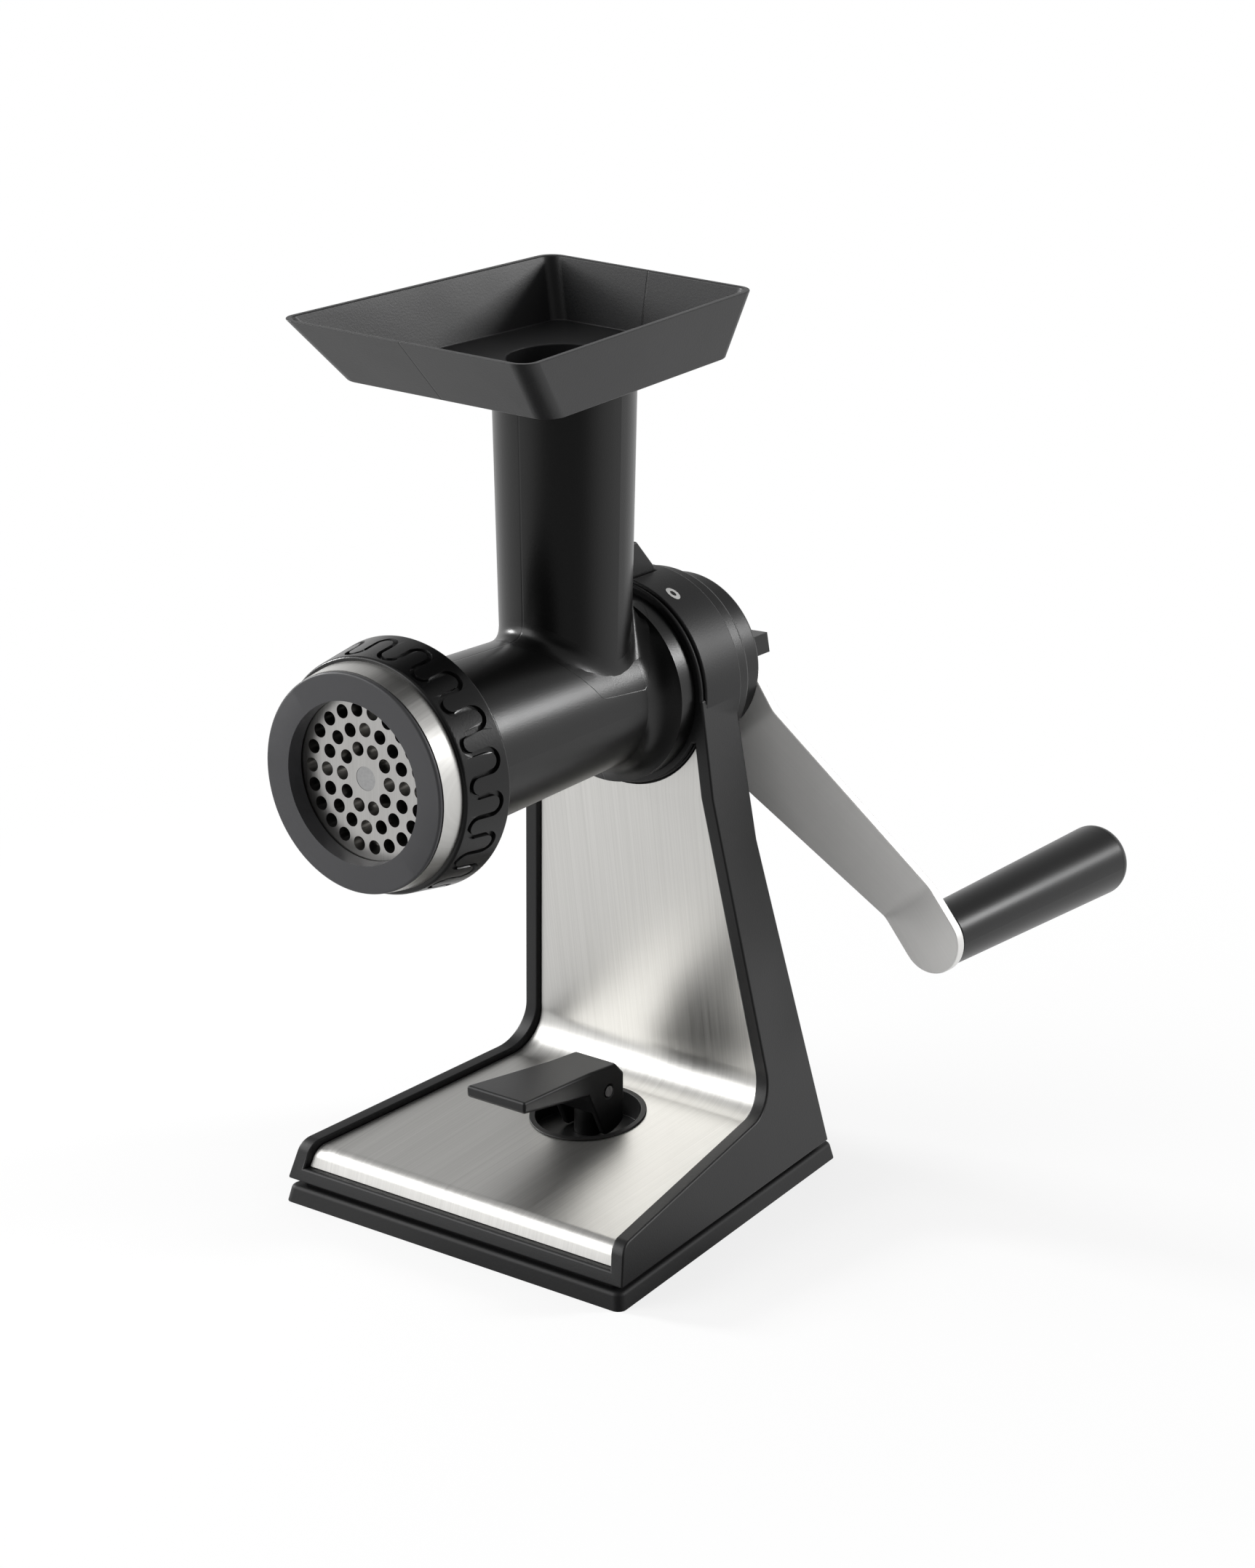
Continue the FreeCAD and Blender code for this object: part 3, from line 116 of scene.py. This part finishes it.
# %% Shortcuts for the commonest nodes
def maths(tree, operation, *values):
    """Result of a Math node."""
    sockets = {f"i{k}": value for k, value in enumerate(values)}
    return add(tree, "ShaderNodeMath", {"operation": operation}, **sockets).outputs[0]


def blend_colour(tree, share, first, second):
    """Result of a mix of two colours, each a socket or a linear colour."""
    return add(tree, "ShaderNodeMix", {"data_type": "RGBA"}, i0=share, i6=first, i7=second).outputs[2]


def ramp(tree, value, low, high, start=0.0, end=1.0):
    """Result of a Map Range node that takes start to end onto low to high."""
    node = add(tree, "ShaderNodeMapRange", Value=value, From_Min=start, From_Max=end, To_Min=low, To_Max=high)
    return node.outputs["Result"]


def new_finish(name):
    """An empty material with its shader and Object coordinates."""
    finish = bpy.data.materials.new(name)
    finish.use_nodes = True
    tree = finish.node_tree
    shader = tree.nodes["Principled BSDF"]
    place = add(tree, "ShaderNodeTexCoord").outputs["Object"]
    return finish, tree, shader, place


print("shortcuts:", [helper.__name__ for helper in (maths, blend_colour, ramp, new_finish)])

# %% [markdown]
# ## Moulded plastics
# The stand, head and crank hub are injection moulded ABS. The mould is spark eroded, so the surface has
# a fine grain of about half a millimetre that breaks up reflections. A noise drives a small bump, and a
# slower noise shifts the roughness a little, as handling does. Tray, ring, lever and grip are the same kind
# of plastic with their own tone and gloss, so one function makes them all. Tray and barrel come from moulds
# with two halves that meet in the middle plane, and the thin line they leave is drawn where X is zero.

# %% Moulded plastic
CLOUD_MM, RELIEF_MM, PLASTIC_IOR, PLASTIC_SPECULAR = 40, 0.1, 1.53, 0.32
WORN_LESS, WORN_MORE = 0.04, 0.06
LINE_CORE, LINE_EDGE, LINE_DEPTH, LINE_COLOUR = 0.3, 0.7, -4.0, "#050506"


def moulded(name, dark, pale, gloss, grain_mm, depth, parting_mm=0.0):
    """Spark-eroded plastic: two close tones, a grain of grain_mm, its bump strength and a mould line."""
    finish, tree, shader, place = new_finish(name)
    cloud = add(tree, "ShaderNodeTexNoise", Vector=place, Scale=1 / (CLOUD_MM * MM), Detail=3.0)
    colour = blend_colour(tree, cloud.outputs["Fac"], linear(dark), linear(pale))
    wear = ramp(tree, cloud.outputs["Fac"], gloss - WORN_LESS, gloss + WORN_MORE)
    grain = add(tree, "ShaderNodeTexNoise", Vector=place, Scale=1 / (grain_mm * MM), Detail=2.0)
    height = grain.outputs["Fac"]
    if parting_mm:
        across = add(tree, "ShaderNodeSeparateXYZ", Vector=place)
        away = maths(tree, "ABSOLUTE", across.outputs["X"])
        line = ramp(tree, away, 1.0, 0.0, LINE_CORE * parting_mm * MM, LINE_EDGE * parting_mm * MM)
        colour = blend_colour(tree, line, colour, linear(LINE_COLOUR))
        height = maths(tree, "MULTIPLY_ADD", line, LINE_DEPTH, height)
    relief = add(tree, "ShaderNodeBump", Height=height, Strength=depth, Distance=RELIEF_MM * MM)
    tree.links.new(colour, shader.inputs["Base Color"])
    tree.links.new(wear, shader.inputs["Roughness"])
    tree.links.new(relief.outputs["Normal"], shader.inputs["Normal"])
    shader.inputs["IOR"].default_value = PLASTIC_IOR
    shader.inputs["Specular IOR Level"].default_value = PLASTIC_SPECULAR
    return finish


print("plastic: index of refraction", PLASTIC_IOR)

# %% Moulded ABS finishes
finishes = {
    "black_plastic": moulded("abs_black_grained", "#090909", "#0e0e0f", 0.36, 0.6, 0.25),
    "grip_plastic": moulded("abs_black_satin", "#090909", "#0e0e0f", 0.32, 0.9, 0.15),
    "tray_plastic": moulded("abs_tray_matt", "#1a1a1b", "#202021", 0.42, 0.7, 0.3, 0.6),
    "ring_plastic": moulded("abs_ring_grey", "#363638", "#3c3c3e", 0.45, 0.6, 0.2),
    "lever_plastic": moulded("abs_lever_charcoal", "#0e0e0f", "#131314", 0.4, 0.7, 0.2),
    "foot_rubber": moulded("rubber_black", "#0a0a0b", "#101011", 0.6, 1.2, 0.35),
}
special = {
    "grinder_housing": moulded("abs_black_barrel", "#060606", "#090909", 0.3, 0.6, 0.2, 0.6),
    "stand_shell": moulded("abs_stand_charcoal", "#0c0c0d", "#111112", 0.44, 0.6, 0.3),
    "ring_grip": moulded("abs_black_sleeve", "#080808", "#0d0d0e", 0.28, 0.7, 0.2),
    "lever_recess": moulded("abs_recess_black", "#060606", "#090909", 0.5, 0.6, 0.2),
    "suction_stem": moulded("pom_stem_black", "#070707", "#0a0a0a", 0.45, 0.6, 0.1),
}
print("plastics:", sorted(finishes), "of their own:", sorted(special))

# %% [markdown]
# ## Brushed and turned steel
# The cover sheet was brushed along its length with a belt: thousands of fine scratches side by side. A noise
# that is squeezed along one axis draws them, as slight changes of tone, roughness and bump. The real lines
# are about 0.1 mm apart, too fine for the render, so they are drawn a few times coarser. The arm is brushed
# along its own length, so its pattern is turned to the crank's rest angle first.

# %% Brushed metal
SHEEN_SPREAD, SCRATCH_STRENGTH, SCRATCH_MM = 0.06, 0.1, 0.05


def brushed(name, dark, pale, gloss, line_mm, run_mm, across=0, turn=0.0, metal=1.0):
    """Metal with scratches run_mm long and line_mm apart; across is the axis that crosses them."""
    finish, tree, shader, place = new_finish(name)
    scale = [1 / (run_mm * MM)] * 3
    scale[across] = 1 / (line_mm * MM)
    turned = add(tree, "ShaderNodeMapping", Vector=place, Rotation=(0, math.radians(turn), 0))
    squeezed = add(tree, "ShaderNodeMapping", Vector=turned.outputs["Vector"], Scale=scale)
    lines = add(tree, "ShaderNodeTexNoise", Vector=squeezed.outputs["Vector"], Scale=1.0, Detail=4.0)
    tone = blend_colour(tree, lines.outputs["Fac"], linear(dark), linear(pale))
    sheen = ramp(tree, lines.outputs["Fac"], gloss - SHEEN_SPREAD, gloss + SHEEN_SPREAD)
    relief = add(tree, "ShaderNodeBump", Height=lines.outputs["Fac"], Strength=SCRATCH_STRENGTH,
                 Distance=SCRATCH_MM * MM)
    tree.links.new(tone, shader.inputs["Base Color"])
    tree.links.new(sheen, shader.inputs["Roughness"])
    tree.links.new(relief.outputs["Normal"], shader.inputs["Normal"])
    shader.inputs["Metallic"].default_value = metal
    return finish


print("scratch relief:", SCRATCH_MM, "mm at a strength of", SCRATCH_STRENGTH)

# %% Steel finishes
finishes["brushed_steel"] = brushed("stainless_brushed_along", "#bdbcb9", "#d8d7d4", 0.36, 0.5, 90.0)
finishes["arm_steel"] = brushed("stainless_satin_arm", "#e2e1df", "#ebeae8", 0.48, 0.5, 60.0, 2, -50.0, 0.35)
finishes["plate_steel"] = brushed("tool_steel_ground", "#9c9b99", "#bbbab8", 0.3, 0.4, 30.0)
finishes["pin_steel"] = brushed("steel_turned", "#98979a", "#b6b5b8", 0.28, 0.4, 6.0, 1)
finishes["screw_steel"] = brushed("steel_zinc_plated", "#8a8a8c", "#a6a6a8", 0.32, 0.5, 4.0)
finishes["auger_metal"] = brushed("aluminium_cast_tumbled", "#8e8e8e", "#a9a9a9", 0.42, 0.9, 0.9)
finishes["bush_brass"] = brushed("bronze_sintered", "#8a6a34", "#a5803f", 0.4, 0.5, 0.5)
print("all finishes:", sorted(finishes))

# %% [markdown]
# ## Dressing the CAD pieces
# CAD edges are perfectly sharp, and no real edge is. A sharp edge catches no light, so it looks drawn
# rather than made. Each visible piece is copied, its triangles are merged into clean faces, and a Bevel
# modifier rounds the edges that are sharper than a chosen angle. The copy then stands for the CAD node.
# Stand, skirt and lever have small corners inside, which would hold a large rounding back everywhere. On
# these three only the edges that point outwards are rounded, the ones that hands and light can reach.

# %% Copies of CAD pieces
SEW_MM, JOIN_DEGREES, OUTWARD_DEGREES = 0.002, 0.5, 45
EDGE_SEGMENTS, GROOVE_SEGMENTS = 3, 2


def merged_copy(node, join_degrees=0.0):
    """A copy of a CAD node with its triangles sewn together; nearly flat neighbours are joined if asked."""
    piece = bpy.data.objects.new(f"{node}_dressed", nodes[node].data.copy())
    bpy.context.scene.collection.objects.link(piece)
    bpy.ops.object.select_all(action="DESELECT")
    piece.select_set(True)
    bpy.context.view_layer.objects.active = piece
    bpy.ops.object.mode_set(mode="EDIT")
    bpy.ops.mesh.select_all(action="SELECT")
    bpy.ops.mesh.remove_doubles(threshold=SEW_MM * MM)
    bpy.ops.mesh.customdata_custom_splitnormals_clear()
    if join_degrees:
        bpy.ops.mesh.dissolve_limited(angle_limit=math.radians(join_degrees))
    bpy.ops.object.mode_set(mode="OBJECT")
    return piece


def stand_for(piece, node):
    """Give a piece the finish of a CAD node and let it stand for that node."""
    piece.data.materials.clear()
    piece.data.materials.append(special.get(node, finishes[slot_of[node]]))
    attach(piece, body_of[node])
    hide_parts(node)


print("copies: corners within", SEW_MM, "mm are sewn together")


# %% Rounding helpers
def mark_outward_edges(piece, above_mm):
    """Give a bevel weight to the sharp edges that point outwards and lie above a height."""
    mesh = bmesh.new()
    mesh.from_mesh(piece.data)
    weight = mesh.edges.layers.float.new("bevel_weight_edge")
    for edge in mesh.edges:
        middle = (edge.verts[0].co + edge.verts[1].co) / 2
        outward = edge.calc_face_angle_signed(0) > math.radians(OUTWARD_DEGREES)
        if outward and middle.z > above_mm * MM:
            edge[weight] = 1.0
    mesh.to_mesh(piece.data)
    mesh.free()


def dress(node, edge_mm, outward_above_mm=None):
    """A copy of a CAD node with its triangles joined and its sharp edges rounded by edge_mm."""
    piece = merged_copy(node, JOIN_DEGREES)
    bevel = piece.modifiers.new("edge", "BEVEL")
    bevel.width = edge_mm * MM
    bevel.segments = EDGE_SEGMENTS
    bevel.miter_outer = "MITER_ARC"
    if outward_above_mm is None:
        bevel.limit_method = "ANGLE"
        bevel.angle_limit = math.radians(SMOOTH_DEGREES)
    else:
        mark_outward_edges(piece, outward_above_mm)
        bevel.limit_method = "WEIGHT"
        bevel.use_clamp_overlap = False
    bpy.ops.object.modifier_apply(modifier=bevel.name)
    bpy.ops.object.shade_smooth_by_angle(angle=math.radians(SMOOTH_DEGREES))
    even = piece.modifiers.new("even", "WEIGHTED_NORMAL")
    even.keep_sharp = True
    bpy.ops.object.modifier_apply(modifier=even.name)
    stand_for(piece, node)
    return piece


print("rounding: from", SMOOTH_DEGREES, "degrees, or outwards from", OUTWARD_DEGREES)

# %% Rounded edges
EDGES_MM = {
    "steel_cover": 0.25, "lever_recess": 0.2, "crank_arm": 0.5, "crank_knob": 0.8, "release_button": 0.6,
    "feed_tray": 0.5,
}
OUTWARD_EDGES_MM = {"stand_shell": (0.8, 6.5), "foot_skirt": (1.3, 1.0), "suction_lever": (1.1, 0.0)}
dressed = {node: dress(node, edge) for node, edge in EDGES_MM.items()}
for node, (edge, above) in OUTWARD_EDGES_MM.items():
    dressed[node] = dress(node, edge, above)
print("dressed:", {node: len(piece.data.polygons) for node, piece in dressed.items()})

# %% [markdown]
# ## Face, band and sleeve of the clamp ring
# On the real ring the grey face reaches to the edge of the steel band, and both band and sleeve widen from
# front to back, so that the ring is easy to grip. In CAD band and sleeve are straight. Copies of the three
# are drawn out or in round the ring's axis. The edges of the sleeve's grooves are rounded. The outer skins
# then get the exact normals of a cone, so that long triangles do not show between the grooves.

# %% Ring helpers
FACE_FROM, FACE_GROWTH = 33 * MM, 0.5 * MM
SLEEVE_BORE_MM, GROOVE_DEGREES, NEARLY_CONE = 35.3, 60, 0.97


def round_axis(point):
    """Distance of a point from the ring's axis and the direction to it."""
    towards = Vector((point.x, 0, point.z - AXIS_HEIGHT))
    return towards.length, towards.normalized()


def tapered(node, radius_mm, taper_mm, edge_mm=0.0):
    """A copy of a ring that is taper_mm smaller in radius at its front edge, with its bore kept."""
    piece = merged_copy(node)
    front = min(corner.co.y for corner in piece.data.vertices)
    width = max(corner.co.y for corner in piece.data.vertices) - front
    for corner in piece.data.vertices:
        reach, towards = round_axis(corner.co)
        share = max(0, reach - SLEEVE_BORE_MM * MM) / ((radius_mm - SLEEVE_BORE_MM) * MM)
        corner.co -= taper_mm * MM * share * (1 - (corner.co.y - front) / width) * towards
    if edge_mm:
        bevel = piece.modifiers.new("edge", "BEVEL")
        bevel.width = edge_mm * MM
        bevel.segments = GROOVE_SEGMENTS
        bevel.limit_method = "ANGLE"
        bevel.angle_limit = math.radians(GROOVE_DEGREES)
        bpy.ops.object.modifier_apply(modifier=bevel.name)
    bpy.ops.object.shade_smooth_by_angle(angle=math.radians(SMOOTH_DEGREES))
    normals = []
    for loop, corner_normal in zip(piece.data.loops, piece.data.corner_normals):
        towards = round_axis(piece.data.vertices[loop.vertex_index].co)[1]
        cone = (width * towards + Vector((0, -taper_mm * MM, 0))).normalized()
        on_skin = cone.dot(corner_normal.vector) > NEARLY_CONE
        normals.append(cone if on_skin else corner_normal.vector.copy())
    piece.data.normals_split_custom_set(normals)
    stand_for(piece, node)
    return piece


print("ring axis:", round(AXIS_HEIGHT / MM, 1), "mm above the table")

# %% Ring face, band and sleeve
face = merged_copy("ring_face")
for corner in face.data.vertices:
    reach, towards = round_axis(corner.co)
    if reach > FACE_FROM:
        corner.co += FACE_GROWTH * towards
bpy.ops.object.shade_smooth_by_angle(angle=math.radians(SMOOTH_DEGREES))
stand_for(face, "ring_face")
band = tapered("ring_band", 38.3, 1.1)
sleeve = tapered("ring_grip", 42.5, 2.7, 0.3)
print("ring faces:", [len(piece.data.polygons) for piece in (face, band, sleeve)])

# %% [markdown]
# ## The blend between tube and barrel
# On the real moulding the feed tube runs into the barrel in a soft hollow, because a sharp inner corner
# would crack and be hard to clean. In CAD the two meet in a sharp line. A grid, many faces round the tube and
# seven across the hollow, is laid over that line: each column starts on the barrel, bends up in a curve and
# ends on the tube. Rays cast at the CAD piece find both surfaces, so the strip touches them everywhere.

# %% Rays to barrel and tube
TUBE_Y, BLEND, ROUND_STEPS, HOLLOW_STEPS = -9.8 * MM, 6 * MM, 96, 7
TUBE_FOOT_RADIUS, FOOT_CLEAR, BARREL_HALF = 22.4 * MM, 1.2 * MM, 25.8 * MM
RAY_START_ABOVE, RAY_START_BESIDE, LEAST_COSINE = 50 * MM, 60 * MM, 0.1
BLEND_SEW, BLEND_WALL, WALL_INSIDE, BLEND_SMOOTH_DEGREES = 0.01 * MM, 1.0 * MM, -0.9, 40
cad_mesh = nodes["grinder_housing"].data
points = [corner.co for corner in cad_mesh.vertices]
housing = BVHTree.FromPolygons(points, [polygon.vertices for polygon in cad_mesh.polygons])


def barrel_height(reach, towards):
    """Height of the barrel under a point beside the tube."""
    start = Vector((0, TUBE_Y, AXIS_HEIGHT + RAY_START_ABOVE)) + reach * towards
    return housing.ray_cast(start, (0, 0, -1))[0].z


def tube_reach(height, towards):
    """Radius of the tube at a height."""
    start = Vector((0, TUBE_Y, height)) + RAY_START_BESIDE * towards
    hit = housing.ray_cast(start, -towards)[0]
    return (hit - Vector((0, TUBE_Y, height))).length


print("rays are cast at", len(cad_mesh.polygons), "faces")

# %% Tube blend
bpy.ops.object.select_all(action="DESELECT")
bpy.ops.mesh.primitive_grid_add(x_subdivisions=ROUND_STEPS, y_subdivisions=HOLLOW_STEPS, size=2)
blend = bpy.context.object
blend.name = "tube_blend"
for corner in blend.data.vertices:
    angle = math.pi * (corner.co.x + 1)
    share = (corner.co.y + 1) / 2
    towards = Vector((math.cos(angle), math.sin(angle), 0))
    foot_height = barrel_height(TUBE_FOOT_RADIUS + FOOT_CLEAR, towards)
    low_reach = min(TUBE_FOOT_RADIUS + BLEND, BARREL_HALF / max(abs(towards.x), LEAST_COSINE))
    low = low_reach, barrel_height(low_reach, towards)
    bend = TUBE_FOOT_RADIUS, foot_height
    high = tube_reach(foot_height + BLEND, towards), foot_height + BLEND
    weights = (1 - share) ** 2, 2 * share * (1 - share), share ** 2
    reach, height = [sum(w * point[k] for w, point in zip(weights, (low, bend, high))) for k in (0, 1)]
    corner.co = Vector((0, TUBE_Y, height)) + reach * towards
print("blend columns:", ROUND_STEPS)

# %% Wall of the blend
bpy.ops.object.mode_set(mode="EDIT")
bpy.ops.mesh.select_all(action="SELECT")
bpy.ops.mesh.remove_doubles(threshold=BLEND_SEW)
bpy.ops.mesh.normals_make_consistent(inside=False)
bpy.ops.object.mode_set(mode="OBJECT")
wall = blend.modifiers.new("wall", "SOLIDIFY")
wall.thickness = BLEND_WALL
wall.offset = WALL_INSIDE
bpy.ops.object.modifier_apply(modifier=wall.name)
bpy.ops.object.shade_smooth_by_angle(angle=math.radians(BLEND_SMOOTH_DEGREES))
blend.data.materials.append(special["grinder_housing"])
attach(blend, "head")
print("blend faces:", len(blend.data.polygons))

# %% [markdown]
# ## The mark on the collar
# A small white mark is printed on the collar's shoulder and shows how far the head has to be turned. It is a
# plain oval ring: a flat disc with its middle inset and taken out, then wrapped round the collar.

# %% Collar mark
MARK_Y, MARK_ANGLE, COLLAR_RADIUS = 27.4 * MM, math.radians(62.4), 36.6 * MM
MARK_HALF_LENGTH, MARK_HALF_WIDTH, INK, INK_SUNK = 3.0 * MM, 2.1 * MM, 0.14 * MM, 0.04 * MM
MARK_CORNERS, MARK_LINE = 32, 0.55
bpy.ops.object.select_all(action="DESELECT")
bpy.ops.mesh.primitive_circle_add(vertices=MARK_CORNERS, radius=1.0, fill_type="NGON")
mark = bpy.context.object
mark.name = "collar_mark"
bpy.ops.object.mode_set(mode="EDIT")
bpy.ops.mesh.select_mode(type="FACE")
bpy.ops.mesh.select_all(action="SELECT")
bpy.ops.mesh.inset(thickness=MARK_LINE)
bpy.ops.mesh.delete(type="FACE")
bpy.ops.mesh.select_all(action="SELECT")
bpy.ops.mesh.extrude_region_move(TRANSFORM_OT_translate={"value": (0, 0, 1)})
bpy.ops.mesh.select_all(action="SELECT")
bpy.ops.mesh.normals_make_consistent(inside=False)
bpy.ops.object.mode_set(mode="OBJECT")
for corner in mark.data.vertices:
    angle = MARK_ANGLE - corner.co.x * MARK_HALF_LENGTH / COLLAR_RADIUS
    radius = COLLAR_RADIUS + INK * corner.co.z - INK_SUNK
    along = MARK_Y + corner.co.y * MARK_HALF_WIDTH
    corner.co = Vector((radius * math.cos(angle), along, AXIS_HEIGHT + radius * math.sin(angle)))
print("mark faces:", len(mark.data.polygons))

# %% Ink of the mark
ink, tree, shader, place = new_finish("pad_print_white")
speckle = add(tree, "ShaderNodeTexNoise", Vector=place, Scale=1 / (0.4 * MM), Detail=2.0)
cover = blend_colour(tree, speckle.outputs["Fac"], linear("#c9c9c7"), linear("#e4e4e2"))
tree.links.new(cover, shader.inputs["Base Color"])
shader.inputs["Roughness"].default_value = 0.55
mark.data.materials.append(ink)
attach(mark, "stand")
print("ink:", ink.name)

# %% [markdown]
# ## The rest of the CAD pieces
# Barrel, hub and grip already have their roundings in CAD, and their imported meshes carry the
# exact normals of the CAD faces, smoother than any that could be worked out here. These, and the parts
# inside or underneath, only take their finish.

# %% Finishes on the other nodes
for node, piece in nodes.items():
    piece.data.materials.clear()
    piece.data.materials.append(special.get(node, finishes[slot_of[node]]))
print("plain nodes:", sorted(set(nodes) - set(dressed) - {"ring_face", "ring_band", "ring_grip"}))

# %% [markdown]
# ## Floor and studio light
# The photograph is lit by large soft boxes in front of a white sweep. A pale floor catches the shadow, and
# the world is plain white to the camera, while it lights the object only gently. In reflections it is white
# too, apart from the photographer's side of the room and the ceiling. These are darker, as in a real studio,
# which gives the black mouldings their deep middle between two bright edges.

# %% Rays and the dark side of the room
ROOM_SIDE, ROOM_EDGE, ROOM_FULL = (0.618, -0.786, 0.0), 0.35, 0.85


def seen_rays(tree):
    """Socket that is 1 for rays from the camera, a reflection or clear matter, and one for reflections."""
    ray = add(tree, "ShaderNodeLightPath")
    seen = maths(tree, "MAXIMUM", ray.outputs["Is Camera Ray"], ray.outputs["Is Glossy Ray"])
    seen = maths(tree, "MAXIMUM", seen, ray.outputs["Is Transmission Ray"])
    return seen, ray.outputs["Is Glossy Ray"]


def room_shade(tree, towards, depth):
    """Socket that grows to depth as a direction turns to the photographer's side of the room."""
    room = add(tree, "ShaderNodeVectorMath", {"operation": "DOT_PRODUCT"}, i0=towards, i1=ROOM_SIDE)
    return ramp(tree, room.outputs["Value"], 0.0, depth, ROOM_EDGE, ROOM_FULL)


print("dark side of the room:", ROOM_SIDE)

# %% Floor
FLOOR_SIZE, FLOOR_SHADE = 12, 0.8
GLOW_LEAST, GLOW_NEAR, GLOW_FAR = 0.75, 0.1, 0.45
bpy.ops.object.select_all(action="DESELECT")
bpy.ops.mesh.primitive_plane_add(size=FLOOR_SIZE)
floor = bpy.context.object
floor.name = "studio_floor"
finish, tree, shader, place = new_finish("studio_paper_white")
shader.inputs["Roughness"].default_value = 0.9
shader.inputs["Specular IOR Level"].default_value = 0.1
seen, mirrored = seen_rays(tree)
away = add(tree, "ShaderNodeVectorMath", {"operation": "LENGTH"}, i0=place)
fade = ramp(tree, away.outputs["Value"], GLOW_LEAST, 1.0, GLOW_NEAR, GLOW_FAR)
ahead = add(tree, "ShaderNodeVectorMath", {"operation": "NORMALIZE"}, i0=place)
dim = maths(tree, "MULTIPLY", room_shade(tree, ahead.outputs["Vector"], FLOOR_SHADE), mirrored)
tint = blend_colour(tree, dim, linear("#f4f4f4"), linear("#101010"))
tree.links.new(tint, shader.inputs["Base Color"])
share = maths(tree, "SUBTRACT", maths(tree, "MULTIPLY", seen, fade), dim)
glow = add(tree, "ShaderNodeEmission", Color=(1, 1, 1, 1), Strength=1.0)
paper = add(tree, "ShaderNodeMixShader", i0=share, i1=shader.outputs[0], i2=glow.outputs[0])
tree.links.new(paper.outputs[0], tree.nodes["Material Output"].inputs["Surface"])
floor.data.materials.append(finish)
print("floor:", floor.name)

# %% World
WORLD_LIGHT, WORLD_SEEN, WORLD_SHADE = 0.4, 1.0, 0.95
CEILING_SHADE, CEILING_FROM, CEILING_FULL = 0.6, 0.15, 0.6
world = bpy.data.worlds.new("white_sweep")
bpy.context.scene.world = world
world.use_nodes = True
tree = world.node_tree
sky = tree.nodes["Background"]
seen, mirrored = seen_rays(tree)
level = ramp(tree, seen, WORLD_LIGHT, WORLD_SEEN)
look = add(tree, "ShaderNodeTexCoord").outputs["Generated"]
rise = add(tree, "ShaderNodeSeparateXYZ", Vector=look)
ceiling = ramp(tree, rise.outputs["Z"], 0.0, CEILING_SHADE, CEILING_FROM, CEILING_FULL)
dim = maths(tree, "MAXIMUM", room_shade(tree, look, WORLD_SHADE), ceiling)
strength = maths(tree, "SUBTRACT", level, maths(tree, "MULTIPLY", dim, mirrored))
sky.inputs["Color"].default_value = (1, 1, 1, 1)
tree.links.new(strength, sky.inputs["Strength"])
print("world:", world.name)


# %% Soft boxes
def soft_box(name, place, aim, size, watts):
    """A square area lamp at a place, turned to face its aim."""
    bpy.ops.object.select_all(action="DESELECT")
    bpy.ops.object.light_add(type="AREA", location=place)
    lamp = bpy.context.object
    lamp.name = name
    lamp.data.size = size
    lamp.data.energy = watts
    lamp.rotation_euler = (Vector(aim) - Vector(place)).to_track_quat("-Z", "Y").to_euler()
    return lamp


MIDDLE = (0.0, 0.0, 0.17)
soft_box("edge_right", (1.15, 1.25, 0.85), MIDDLE, 0.4, 15)
soft_box("edge_left", (-1.6, -0.35, 0.8), MIDDLE, 0.35, 24)
soft_box("front_left", (-0.8, -1.15, 0.9), MIDDLE, 1.1, 13)
